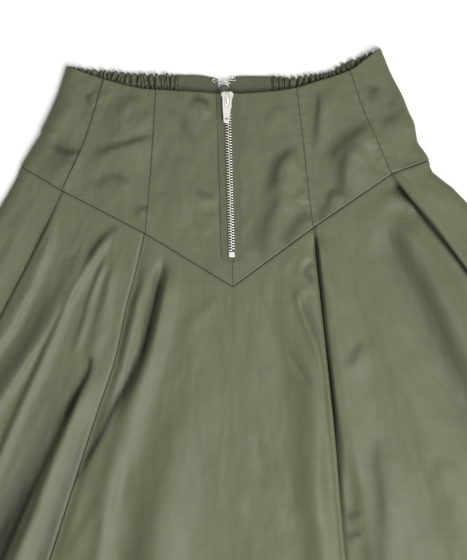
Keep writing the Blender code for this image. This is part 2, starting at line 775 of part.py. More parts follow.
ZIP_BASE = YOKE_MID + YOKE_CLOTH / 2 + SEAM_GAP     # underside of the tapes
TAPE_TOP = ZIP_BASE + TAPE
SLIDER_BASE = TAPE_TOP + SEAM_GAP
PLATE_TOP = SLIDER_BASE + SLIDER_PLATE
PIVOT_Z = PLATE_TOP + BRIDGE_CLEAR / 2


# Cross-section of the closed chain: (x, height above its base)
CHAIN_PROFILE = [(-CHAIN_HALF_WIDTH, 0.2), (-CHAIN_HALF_WIDTH, CHAIN - 0.5),
                 (0.6 - CHAIN_HALF_WIDTH, CHAIN), (CHAIN_HALF_WIDTH - 0.6, CHAIN),
                 (CHAIN_HALF_WIDTH, CHAIN - 0.5), (CHAIN_HALF_WIDTH, 0.2),
                 (CHAIN_HALF_WIDTH - 0.3, 0), (0.3 - CHAIN_HALF_WIDTH, 0)]


def build_zip():
    """Tapes, closed chain and bottom stop, which lie on the yoke along the centre front."""
    near = CHAIN_HALF_WIDTH + SEAM_GAP
    turn_x = TAPE_HALF_WIDTH - TAPE_CORNER
    turn_y = ZIP_END + TAPE_CORNER
    for name, side in (("zip_tape_left", -1), ("zip_tape_right", 1)):
        outline = [(side * near, ZIP_TOP), (side * TAPE_HALF_WIDTH, ZIP_TOP)]
        for a in np.radians(np.linspace(0, 90, 6)):
            outline.append((side * (turn_x + TAPE_CORNER * math.cos(a)),
                            turn_y - TAPE_CORNER * math.sin(a)))
        outline.append((side * near, ZIP_END))
        prism(name, outline, ZIP_BASE, TAPE_TOP, "tape")
    chain_end = SLIDER_TOP - SLIDER_LENGTH - SEAM_GAP
    ring = [(x, chain_end, ZIP_BASE + z) for x, z in CHAIN_PROFILE]
    place("zip_chain", run_out("zip_chain", ring, 1, STOP_TOP + SEAM_GAP), "nickel")
    half = CHAIN_HALF_WIDTH
    stop = [(-half, STOP_END), (half, STOP_END), (half, STOP_TOP), (-half, STOP_TOP)]
    prism("zip_stop", stop, ZIP_BASE, ZIP_BASE + CHAIN + STOP_PROUD, "nickel")


# Half outline of the slider's plate: (half_width, distance_below_its_top)
SLIDER_OUTLINE = [(1.6, 0.0), (4.6, 0.9), (6.3, 2.3), (5.9, 4.2), (4.9, 7.0), (4.4, 10.0),
                  (4.3, 14.5), (3.6, SLIDER_LENGTH)]
# Side view of the bridge: (distance_below_pivot, height_above_plate)
BRIDGE_OUTER = [(-2.9, -0.4), (-2.7, 2.2), (-1.4, 3.2), (5.2, 3.2), (8.2, 1.8), (8.8, -0.4)]
BRIDGE_INNER = [(7.0, -0.4), (6.4, 1.2), (4.8, 2.0), (-1.1, 2.0), (-1.3, -0.4)]


def build_slider():
    """The slider: a plate that tapers downwards and the bridge that holds the pull tab."""
    outline = [(-w, SLIDER_TOP - d) for w, d in SLIDER_OUTLINE]
    outline += [(w, SLIDER_TOP - d) for w, d in reversed(SLIDER_OUTLINE)]
    slider = prism("zip_slider", outline, SLIDER_BASE, PLATE_TOP, "nickel")
    ring = [(-BRIDGE_HALF_WIDTH, PIVOT_Y - d, PLATE_TOP + z) for d, z in BRIDGE_OUTER + BRIDGE_INNER]
    bridge = guide_object("bridge", run_out("bridge", ring, 0, BRIDGE_HALF_WIDTH))
    shaped_by(slider, bridge, "UNION")


# Half outline of the pull tab: (half_width, distance_below_its_pivot)
TAB_OUTLINE = [(3.2, -0.6), (4.3, 0.6), (4.5, 3.0), (4.3, 9.0), (3.9, 14.0), (3.1, 20.0),
               (2.9, 25.2), (2.2, 26.5), (1.0, TAB_LENGTH)]


def build_tab():
    """The pull tab, which turns on its cross bar under the slider's bridge."""
    outline = [(-w, -d) for w, d in TAB_OUTLINE] + [(w, -d) for w, d in reversed(TAB_OUTLINE)]
    tab = prism("zip_pull_tab", outline, -TAB_THICK / 2, TAB_THICK / 2, "nickel")
    for name, half_width, near, far in TAB_WINDOWS:
        ring = [(-half_width, -near, -TAB_THICK), (half_width, -near, -TAB_THICK),
                (half_width, -far, -TAB_THICK), (-half_width, -far, -TAB_THICK)]
        guide = guide_object(name, run_out(name, ring, 2, TAB_THICK))
        guide.parent = tab
        shaped_by(tab, guide, "DIFFERENCE")
    tab.location = (0, PIVOT_Y * MM, PIVOT_Z * MM)
    tab.rotation_euler = (0, 0, -TAB_LEAN)
    return tab


def wire(name, points):
    """A bent wire through the points."""
    curve = bpy.data.curves.new(name, "CURVE")
    curve.dimensions = "3D"
    curve.bevel_depth = WIRE_RADIUS * MM
    curve.bevel_resolution = 1
    curve.use_fill_caps = True
    line = curve.splines.new("POLY")
    line.points.add(len(points) - 1)
    for spot, p in zip(line.points, points):
        spot.co = (p[0] * MM, p[1] * MM, p[2] * MM, 1)
    curve.materials.append(surface("nickel"))
    thing = bpy.data.objects.new(name, curve)
    bpy.context.scene.collection.objects.link(thing)
    return thing


def arc(centre_x, centre_y, radius, start, end, count):
    """Points on an arc, its angles in degrees."""
    turns = np.radians(np.linspace(start, end, count))
    return [(centre_x + radius * math.cos(a), centre_y + radius * math.sin(a)) for a in turns]


def build_back_closure():
    """The concealed zip's tape and slider, and the hook and eye above them."""
    tape_base = CLOTH + SEAM_GAP
    tape_top = tape_base + BACK_TAPE_THICK
    prism("back_zip_tape", BACK_TAPE, tape_base, tape_top, "tape")
    outline = arc(BACK_CENTRE_X, BACK_SLIDER_CROWN_Y, BACK_SLIDER_HALF_WIDTH, 180, 0, 9)
    outline += [(BACK_CENTRE_X + x, y) for x, y in BACK_SLIDER_FOOT]
    slider_base = tape_top + SEAM_GAP
    prism("back_zip_slider", outline, slider_base, slider_base + BACK_SLIDER_THICK, "painted")
    lift = PLAIN_END_TOP + SEAM_GAP + WIRE_RADIUS
    loops = (("hook", -12.2, 12.4, 300, 40, HOOK_ROUTE), ("eye", 6.2, 13.2, 240, -60, EYE_ROUTE))
    for name, x, y, start, end, route in loops:
        points = [(*p, lift) for p in arc(x, y, SEWING_LOOP_RADIUS, start, end, 7)]
        wire(name, points + [(px, py, lift + rise) for px, py, rise in route])


def centre_on_origin():
    """Shifts everything so that the origin is under the middle of the whole skirt."""
    left, right = float(left_side(-1000)), float(right_side(-1000))
    low = float(hem(np.arange(-300, 300)).min())
    high = float(FRONT_WAIST[-1][1])
    return (left + right) / 2, (low + high) / 2


def main():
    clear_scene()
    patches = skirt_patches()
    build_back()
    build_plain_ends()
    for row in ELASTIC:
        build_elastic(*row)
    build_back_closure()
    build_under(patches, "front_left", "left_outer", "side_left", "left_inner", "front_centre")
    build_under(patches, "front_right", "right_inner", "front_centre", "right_outer", "side_right")
    build_side(patches, "side_left", "left_outer", "front_left", False)
    build_side(patches, "side_right", "right_outer", "front_right", True)
    build_centre(patches)
    for name, left_line, right_line in YOKE_PANELS:
        build_yoke_panel(name, left_line, right_line)
    build_zip()
    build_slider()
    tab = build_tab()
    middle_x, middle_y = centre_on_origin()
    for thing in bpy.data.objects:
        if thing.parent is None:
            thing.location.x -= middle_x * MM
            thing.location.y -= middle_y * MM
    bpy.context.view_layer.update()
    print("pivot", [round(v, 5) for v in tab.location], "shift", middle_x, middle_y)


main()
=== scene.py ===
# %% [markdown]
# # A corset skirt in olive satin, laid flat
#
# This lesson dresses a plain model of a flared skirt that lies on its back on a table. The packed
# model gives the size and place of every piece. Each step here replaces a thick, plain piece by
# a thin cloth or a finished metal part with the folds, seams and stitches of the real one.
#
# Cloth has no thickness to speak of, so each panel is built as a grid of points in the middle of
# the cloth, and one function turns every grid into a thin closed shell.

# %% Load the model
import json
import math

import bpy
import numpy as np
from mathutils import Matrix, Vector, noise


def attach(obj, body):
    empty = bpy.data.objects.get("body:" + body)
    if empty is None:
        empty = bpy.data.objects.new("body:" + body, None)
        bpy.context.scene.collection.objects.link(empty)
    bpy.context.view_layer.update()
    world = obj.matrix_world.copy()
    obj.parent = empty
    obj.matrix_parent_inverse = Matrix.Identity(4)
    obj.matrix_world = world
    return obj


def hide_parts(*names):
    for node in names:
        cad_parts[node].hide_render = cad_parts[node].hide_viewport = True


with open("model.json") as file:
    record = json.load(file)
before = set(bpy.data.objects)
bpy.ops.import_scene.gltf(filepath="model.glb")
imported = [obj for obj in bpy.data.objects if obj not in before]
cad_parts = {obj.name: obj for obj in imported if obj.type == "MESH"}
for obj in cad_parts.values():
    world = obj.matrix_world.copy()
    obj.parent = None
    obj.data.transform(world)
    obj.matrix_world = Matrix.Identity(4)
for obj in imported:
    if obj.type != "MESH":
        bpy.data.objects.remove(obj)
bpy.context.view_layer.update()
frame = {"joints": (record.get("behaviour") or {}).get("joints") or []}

MM = 0.001

# %% [markdown]
# ## One frame for the whole garment
#
# A pattern maker measures from the top of the centre front. The tables below do the same, in
# millimetres: x to the right, y up towards the waist, z up from the table. The zip's pull tab
# turns on a pivot that the model knows, and the pivot lies just below the waist edge, so it
# tells where the garment's origin lies in the model.

# %% The garment's origin in the model
PIVOT_BELOW_WAIST = 2.6
pivot = [value / MM for value in frame["joints"][0]["pos_m"]]
ORIGIN = np.array([pivot[0], pivot[1] + PIVOT_BELOW_WAIST, 0.0])
PIVOT_Z = pivot[2]


def to_model(points):
    """Turns garment millimetres into the model's metres."""
    return (np.asarray(points, float) + ORIGIN) * MM


print("garment origin in model mm:", ORIGIN.round(2))

# %% [markdown]
# ## Camera first
#
# The picture is a close-up from straight above. Its middle and its height on the cloth are real
# sizes, and the garment lies turned by a small angle in it. A long lens keeps the folds from
# leaning outwards.

# %% Camera
PICTURE_MIDDLE = (1.0, -178.0)
PICTURE_HEIGHT = 532.0
PICTURE_TURN = math.radians(1.61)
LENS, SENSOR = 90.0, 36.0
CLOTH_LEVEL = 8.0

camera_data = bpy.data.cameras.new("camera")
camera_data.lens = LENS
camera_data.sensor_width = SENSOR
camera = bpy.data.objects.new("camera", camera_data)
bpy.context.scene.collection.objects.link(camera)
camera_height = CLOTH_LEVEL + PICTURE_HEIGHT * LENS / SENSOR
camera.location = to_model((*PICTURE_MIDDLE, camera_height))
camera.rotation_euler = (0, 0, -PICTURE_TURN)
bpy.context.scene.camera = camera
print("camera height in mm:", camera_height)

# %% [markdown]
# ## Cutting lines
#
# Every panel lies between two lines that run down the garment and two that run across it. The
# points are the corners and bends of the real outline, and a smooth curve joins them. The table
# of the hem continues the side edges in line, because a skirt of this kind ends at mid calf.

# %% Outlines in mm from the top of the centre front
FRONT_WAIST = [(-152, 30), (-122, 18), (-84, 7), (-55, 4), (-12, 0), (0, -0.5),
               (8, -1), (38, 0), (65, 3), (91, 10), (117, 18), (132, 28), (147, 39)]
BACK_WAIST = [(-153, 31), (-136, 27), (-106, 23), (-77, 20), (-48, 19), (-26, 18), (-12, 15),
              (-3, 12), (6, 14), (13, 16), (43, 15), (61, 13), (78, 15), (99, 18), (111, 25),
              (131, 32), (148, 39)]
YOKE_SEAM = [(-198, -64), (-160, -88), (-82, -131), (0, -184), (78, -130), (154, -81), (190, -69)]
HEM = [(-576, -625), (-484, -665), (-388, -710), (-287, -740), (-190, -764), (-87, -776),
       (24, -779), (129, -772), (243, -751), (355, -712), (455, -666), (540, -621), (626, -593)]
LEFT_SIDE = [(-152, 30), (-160, 7), (-167, -9), (-174.5, -24), (-177.5, -29), (-178.5, -34),
             (-182, -39), (-198, -64), (-218, -100), (-338, -284), (-462, -469), (-576, -625)]
RIGHT_SIDE = [(147, 39), (156, 15), (167, -8), (172, -22), (177, -33), (178.5, -43), (180.5, -53),
              (188, -64), (191.5, -73), (191, -78), (197.5, -84), (209, -94), (225, -110), (357, -256),
              (495, -429), (626, -593)]
YOKE_LINES = {
    "left_outer": [(-117, 17), (-137, -41), (-160, -88)],
    "left_inner": [(-68, 5), (-74, -62), (-82, -131)],
    "centre": [(0, -0.5), (0, -184)],
    "right_inner": [(66, 3), (70, -41), (75, -101), (78, -130)],
    "right_outer": [(117, 18), (128, -17), (140, -47), (154, -81)],
}
PLEAT_EDGES = {
    "left_outer": [(-160, -88), (-185, -137), (-221, -202), (-306, -354), (-393, -509), (-484, -665)],
    "left_inner": [(-82, -131), (-93, -173), (-102, -203), (-114, -252), (-135, -309), (-163, -388),
                   (-227, -570), (-287, -740)],
    "right_inner": [(78, -130), (80, -163), (83, -199), (90, -285), (94, -342), (100, -447),
                    (114, -609), (129, -772)],
    "right_outer": [(154, -81), (170, -103), (196, -135), (223, -173), (381, -398), (540, -621)],
}


# %% Curves through those points
def smooth_route(points, steps=10):
    """Samples a smooth Catmull-Rom curve that passes through the points."""
    p = np.array(points, float)
    p = np.vstack([2 * p[0] - p[1], p, 2 * p[-1] - p[-2]])
    t = (np.arange(steps) / steps)[:, None]
    pieces = []
    for a, b, c, d in zip(p[:-3], p[1:-2], p[2:-1], p[3:]):
        pieces.append(0.5 * (2 * b + (c - a) * t + (2 * a - 5 * b + 4 * c - d) * t ** 2
                             + (3 * b - a - 3 * c + d) * t ** 3))
    return np.vstack(pieces + [p[-2:-1]])


def y_of_line(points, smooth=True):
    """Turns a line across the garment into a function y(x)."""
    line = smooth_route(points) if smooth else np.array(points, float)
    return lambda x: np.interp(x, line[:, 0], line[:, 1])


def x_of_line(points):
    """Turns a line down the garment into a function x(y)."""
    line = smooth_route(points)[::-1]
    return lambda y: np.interp(y, line[:, 1], line[:, 0])


front_waist, back_waist, hem = y_of_line(FRONT_WAIST), y_of_line(BACK_WAIST), y_of_line(HEM)
yoke_seam = y_of_line(YOKE_SEAM, smooth=False)
left_side, right_side = x_of_line(LEFT_SIDE), x_of_line(RIGHT_SIDE)
yoke_line = {name: x_of_line(line) for name, line in YOKE_LINES.items()}
pleat_edge = {name: x_of_line(line) for name, line in PLEAT_EDGES.items()}
for name, line in (("waist", FRONT_WAIST), ("hem", HEM)):
    print(name, line[-1][0] - line[0][0], "mm wide, flat")


# %% [markdown]
# ## Folds as soft ridges and troughs
#
# Cloth simulation would give folds, but not these folds. Each one here is a row in a table: how
# high it stands, how wide its left and right slopes are, how it fades in and out, and the route of
# its crest. A narrow slope beside a wide one gives the leaning folds of stiff satin.

# %% Folds: (height, width_left, width_right, fade_in, fade_out, route)
FOLDS = {
    "side_left": [
        (5.5, 14, 16, 0.5, 0, [(-190, -100), (-262, -240), (-372, -430), (-505, -645)]),
        (-2.5, 10, 10, 0.4, 0, [(-196, -140), (-300, -300), (-420, -480), (-545, -640)]),
        (-1.3, 4, 5, 0.3, 0.4, [(-205, -118), (-228, -160), (-262, -218)]),
    ],
    "front_left": [
        (1.6, 2.6, 8, 0.1, 0.3, [(-155, -91), (-181, -138), (-216, -202), (-300, -354), (-387, -509)]),
        (3.6, 8, 6, 0.06, 0, [(-168, -114), (-174, -140), (-185, -163), (-195, -184), (-207, -205),
         (-222, -229), (-330, -380), (-420, -550)]),
        (4.2, 11, 7, 0.05, 0, [(-136, -146), (-146, -162), (-158, -186), (-171, -205), (-183, -226),
         (-198, -247), (-218, -275), (-310, -420), (-420, -620)]),
        (3.2, 4.5, 6, 0.05, 0, [(-104, -125), (-116, -133), (-127, -145), (-139, -164), (-149, -181),
         (-159, -201), (-169, -222), (-182, -248), (-194, -273), (-207, -299), (-222, -332),
         (-290, -480), (-385, -690)]),
        (2.6, 3, 5, 0.2, 0.3, [(-116, -151), (-126, -168), (-136, -194), (-141, -212), (-148, -231),
         (-155, -250)]),
        (2.8, 5, 6, 0.3, 0.3, [(-105, -153), (-115, -171), (-121, -192), (-127, -213), (-132, -234),
         (-141, -260)]),
        (7, 6, 12, 0.12, 0, [(-128, -246), (-139, -270), (-152, -296), (-174, -346), (-194, -396),
         (-213, -438), (-262, -550), (-345, -720)]),
        (-3, 26, 5, 0.2, 0, [(-138, -256), (-153, -284), (-175, -325), (-200, -375), (-225, -425),
         (-275, -545), (-350, -700)]),
        (1.5, 5, 6, 0.4, 0.4, [(-158, -100), (-131, -115), (-101, -126)]),
        (-1.5, 4, 4, 0.3, 0.3, [(-141, -114), (-136, -107), (-130, -101)]),
        (-0.8, 2.5, 2.5, 0.3, 0.3, [(-163, -152), (-154, -150), (-143, -147)]),
        (-0.7, 2, 2, 0.3, 0.3, [(-194, -379), (-182, -381), (-170, -381)]),
    ],
    "front_centre": [
        (5, 4, 12, 0.2, 0.5, [(-53, -152), (-60, -174), (-67, -201), (-76, -233), (-87, -263),
         (-100, -291), (-114, -318), (-124, -338)]),
        (-10, 4.2, 3.6, 0.16, 0.5, [(-63, -152), (-69, -172), (-76, -199), (-85, -230), (-96, -259),
         (-110, -288), (-124, -313)]),
        (3, 5, 5, 0.3, 0.3, [(-76, -155), (-86, -184), (-94, -208), (-103, -234), (-112, -258),
         (-124, -285)]),
        (3.4, 8, 12, 0.3, 0, [(-56, -168), (-67, -210), (-80, -245), (-94, -281), (-108, -321),
         (-119, -353), (-126, -378), (-134, -437), (-175, -540), (-245, -745)]),
        (-1.7, 6, 8, 0.3, 0.3, [(-99, -330), (-109, -365), (-116, -392), (-123, -421), (-127, -455)]),
        (-2.6, 14, 14, 0.5, 0, [(-42, -250), (-75, -300), (-94, -350), (-105, -400), (-114, -440),
         (-150, -560), (-200, -760)]),
        (0.9, 6, 13, 0.4, 0.4, [(-27, -238), (-44, -255), (-60, -272), (-73, -292)]),
        (8.4, 17, 26, 0.5, 0, [(-14, -214), (-22, -236), (-33, -270), (-49, -308), (-61, -346),
         (-70, -378), (-82, -442), (-100, -560), (-135, -770)]),
        (0.35, 2, 3, 0.3, 0.3, [(-5, -285), (-14, -329), (-18, -368), (-20, -400)]),
        (-3.4, 14, 15, 0.5, 0.5, [(22, -172), (36, -225), (45, -275), (42, -350)]),
        (3.4, 30, 30, 0.4, 0, [(30, -330), (24, -450), (15, -600), (5, -775)]),
        (6.8, 16, 12, 0.3, 0, [(50, -188), (62, -237), (71, -264), (75, -297), (74, -347), (76, -407),
         (92, -600), (106, -770)]),
        (2.3, 5, 5, 0.15, 0.3, [(61, -180), (62, -197), (69, -221), (80, -251), (87, -272), (90, -290),
         (91, -330)]),
        (-1.5, 3, 3.5, 0.2, 0.4, [(68, -190), (67, -202), (73, -218), (82, -238), (87, -254)]),
        (1.1, 3, 5, 0.3, 0.3, [(81, -155), (71, -159), (64, -166), (65, -177), (75, -185)]),
        (-1.6, 2.5, 3, 0.2, 0.2, [(81, -162), (71, -165), (70, -172), (80, -182)]),
        (1.1, 3, 5, 0.3, 0.3, [(80, -191), (68, -187), (62, -196), (62, -206)]),
        (1.3, 4, 6, 0.3, 0.2, [(44, -176), (53, -163), (61, -156), (76, -147)]),
        (-1.5, 3, 3, 0.3, 0.3, [(49, -247), (62, -266), (73, -283)]),
        (-1, 8, 9, 0.3, 0.3, [(61, -350), (62, -376), (63, -406), (66, -450)]),
        (-1, 2.5, 2.5, 0.2, 0.4, [(0, -186), (-1, -196), (-2, -208)]),
        (1, 5, 6, 0.3, 0.4, [(-10, -190), (-24, -204), (-44, -227)]),
        (-1.2, 2.2, 3, 0.25, 0.25, [(-98, -198), (-92, -187), (-84, -174)]),
        (-1.2, 2.2, 3, 0.25, 0.25, [(-107, -225), (-101, -216), (-92, -203)]),
        (-1.2, 2.2, 3, 0.25, 0.25, [(-120, -273), (-114, -263), (-105, -250)]),
        (1.5, 4, 10, 0.3, 0.3, [(-129, -372), (-141, -400), (-153, -420), (-167, -446)]),
        (-1.4, 7, 8, 0.35, 0.4, [(15, -318), (24, -352), (29, -381)]),
        (1.6, 7, 12, 0.35, 0.4, [(64, -354), (63, -383), (66, -416)]),
        (0.8, 6, 12, 0.35, 0.4, [(-27, -197), (-40, -217), (-49, -241), (-65, -262)]),
        (-1.2, 8, 9, 0.35, 0.4, [(-3, -385), (25, -417), (48, -438)]),
    ],
    "front_right": [
        (4.5, 3, 9, 0.06, 0.2, [(82, -134), (85, -165), (88, -199), (91, -240), (94.5, -285),
         (101, -335), (104, -385)]),
        (3.8, 8, 16, 0.1, 0, [(87, -140), (91, -165), (95, -195), (100, -233), (104, -273), (109, -310),
         (113, -340), (117, -372), (121, -408), (130, -470), (150, -600), (170, -765)]),
        (3.9, 22, 22, 0.25, 0, [(112, -135), (130, -190), (150, -260), (190, -350), (262, -520),
         (340, -712)]),
        (-3.8, 18, 14, 0.05, 0, [(144, -125), (158, -154), (178, -192), (196, -235), (214, -279),
         (240, -335), (310, -480), (400, -680)]),
        (8.2, 18, 24, 0.05, 0, [(157, -116), (179, -166), (206, -222), (219, -255), (262, -325),
         (330, -440), (470, -665)]),
        (2.6, 6, 10, 0.1, 0.3, [(179, -112), (165, -106), (150, -100), (143, -95)]),
        (1.6, 8, 14, 0.3, 0.5, [(118, -109), (130, -124), (140, -147), (138, -165)]),
        (1.8, 6, 14, 0.35, 0.5, [(128, -237), (120, -252), (111, -268), (106, -278)]),
        (2.6, 9, 20, 0.3, 0.1, [(155, -335), (142, -340), (136, -346), (137, -359), (139, -376),
         (141, -395), (141, -419), (141, -448), (150, -560)]),
        (1.5, 8, 14, 0.4, 0.5, [(196, -350), (193, -369), (188, -391)]),
        (1.2, 4, 7, 0.3, 0.4, [(118, -405), (110, -407), (102, -411)]),
        (1.4, 4, 7, 0.3, 0.4, [(119, -422), (110, -426), (102, -430)]),
    ],
    "side_right": [
        (7.3, 13, 16, 0.4, 0, [(196, -100), (262, -172), (400, -350), (585, -610)]),
        (-2.8, 12, 12, 0.5, 0, [(215, -112), (300, -215), (440, -380), (605, -600)]),
        (-1.7, 5, 6, 0.3, 0.3, [(176, -104), (198, -141), (224, -184), (250, -222)]),
        (1.4, 5, 6, 0.3, 0.3, [(170, -84), (186, -98), (206, -116)]),
    ],
    "yoke": [
        (1.5, 4, 10, 0.3, 0.45, [(-132, 3), (-128, -6), (-125, -11)]),
        (1.8, 7, 14, 0.25, 0.45, [(-140, -7), (-151, -13), (-161, -22), (-170, -31)]),
        (2.0, 3, 8, 0.25, 0.45, [(-161, -35), (-169, -34), (-181, -35)]),
        (2.4, 5, 14, 0.25, 0.45, [(-138, -53), (-153, -56), (-166, -51), (-180, -46)]),
        (1.5, 7, 14, 0.3, 0.45, [(-142, -65), (-160, -67), (-180, -63)]),
        (1.8, 7, 14, 0.25, 0.45, [(-79, -1), (-90, -8), (-104, -17), (-120, -27)]),
        (2.0, 8, 15, 0.25, 0.45, [(-66, -22), (-82, -23), (-93, -28), (-107, -35), (-122, -42)]),
        (2.7, 4, 15, 0.25, 0.45, [(-66, -39), (-83, -45), (-100, -50), (-114, -54), (-126, -60),
         (-140, -62)]),
        (1, 5, 14, 0.4, 0.45, [(-87, -92), (-94, -88), (-103, -82), (-110, -81), (-121, -85),
         (-134, -93)]),
        (1.6, 3, 7, 0.25, 0.45, [(-77, -108), (-84, -111), (-91, -115)]),
        (1.5, 4, 9, 0.25, 0.45, [(-19, -10), (-27, -9), (-35, -5)]),
        (1.5, 4, 8, 0.3, 0.45, [(-16, -21), (-23, -15), (-29, -13)]),
        (1.3, 6, 14, 0.3, 0.45, [(-61, -13), (-48, -17), (-40, -27), (-33, -39), (-24, -49)]),
        (0.8, 4, 8, 0.25, 0.45, [(-10, -98), (-24, -100), (-35, -96), (-42, -88)]),
        (1.3, 9, 20, 0.3, 0.45, [(-45, -53), (-46, -79), (-50, -110), (-51, -131)]),
        (1.3, 8, 17, 0.3, 0.45, [(-20, -110), (-23, -123), (-24, -138)]),
        (3.4, 6, 17, 0.25, 0.45, [(70, -57), (56, -65), (49, -74), (46, -88), (37, -101), (30, -111)]),
        (3.0, 8, 17, 0.25, 0.45, [(53, -92), (46, -110), (39, -126), (36, -140), (34, -155),
         (29, -166)]),
        (2.4, 7, 15, 0.25, 0.45, [(76, -115), (68, -128), (61, -138), (50, -150)]),
        (1.3, 4, 8, 0.3, 0.45, [(71, -95), (67, -101), (65, -108)]),
        (1.3, 9, 20, 0.3, 0.45, [(69, -43), (55, -50), (38, -60), (20, -73)]),
        (1.2, 7, 15, 0.3, 0.45, [(59, -15), (44, -26), (28, -37)]),
        (2.5, 4, 10, 0.25, 0.45, [(89, 2), (89, -17), (87, -33), (85, -48), (84, -67)]),
        (3.5, 7, 19, 0.25, 0.45, [(140, -33), (124, -46), (110, -56), (102, -67), (90, -84)]),
        (2.7, 6, 20, 0.25, 0.45, [(129, -51), (116, -62), (111, -75), (111, -88), (108, -107)]),
        (2.4, 5, 14, 0.25, 0.45, [(102, -93), (97, -105), (93, -116), (83, -125)]),
        (1.5, 5, 12, 0.3, 0.45, [(169, -2), (164, -11), (157, -21), (149, -27)]),
        (1.2, 5, 10, 0.3, 0.45, [(140, 2), (141, -10), (145, -19)]),
        (1.8, 6, 14, 0.3, 0.45, [(164, -25), (153, -36), (142, -43)]),
        (1.7, 4, 12, 0.25, 0.45, [(188, -71), (176, -76), (160, -79)]),
    ],
}


# %% The height that the folds add
ROUTE_STEPS = 6
START_SHARE, WIDEN_BY = 0.8, 0.6   # a fold is 0.8 of its width where it starts and 1.4 where it ends


def ease(low, high, value):
    """Runs smoothly from 0 at low to 1 at high."""
    t = np.clip((np.asarray(value, float) - low) / (high - low), 0, 1)
    return t * t * (3 - 2 * t)


def bell(distance, width):
    """Falls softly from 1 at no distance to 0, and is at 0.37 one width away."""
    return np.exp(-(distance / width) ** 2)


def fold_height(row, x, y):
    """Height that one fold adds at the points (x, y)."""
    height, width_left, width_right, fade_in, fade_out, points = row
    route = smooth_route(points, ROUTE_STEPS)
    start, step = route[:-1], np.diff(route, axis=0)
    length = np.hypot(step[:, 0], step[:, 1])
    travelled = np.concatenate([[0], np.cumsum(length)])
    dx, dy = x[..., None] - start[:, 0], y[..., None] - start[:, 1]
    along = np.clip((dx * step[:, 0] + dy * step[:, 1]) / length ** 2, 0, 1)
    away_x, away_y = dx - along * step[:, 0], dy - along * step[:, 1]
    distance = np.hypot(away_x, away_y)
    nearest = np.argmin(distance, axis=-1)[..., None]

    def at_nearest(values):
        return np.take_along_axis(values, nearest, -1)[..., 0]

    part = at_nearest((travelled[:-1] + along * length) / travelled[-1])
    side = at_nearest(away_x * -step[:, 1] + away_y * step[:, 0])
    width = np.where(side < 0, width_left, width_right) * (START_SHARE + WIDEN_BY * part)
    strength = ease(0, fade_in, part) if fade_in else 1.0
    if fade_out:
        strength = strength * ease(0, fade_out, 1 - part)
    return height * strength * bell(at_nearest(distance), width)


def folds(panel, x, y):
    """Height of all folds of a panel at the points (x, y)."""
    return sum(fold_height(row, x, y) for row in FOLDS[panel])


print("fold rows:", {panel: len(rows) for panel, rows in FOLDS.items()})
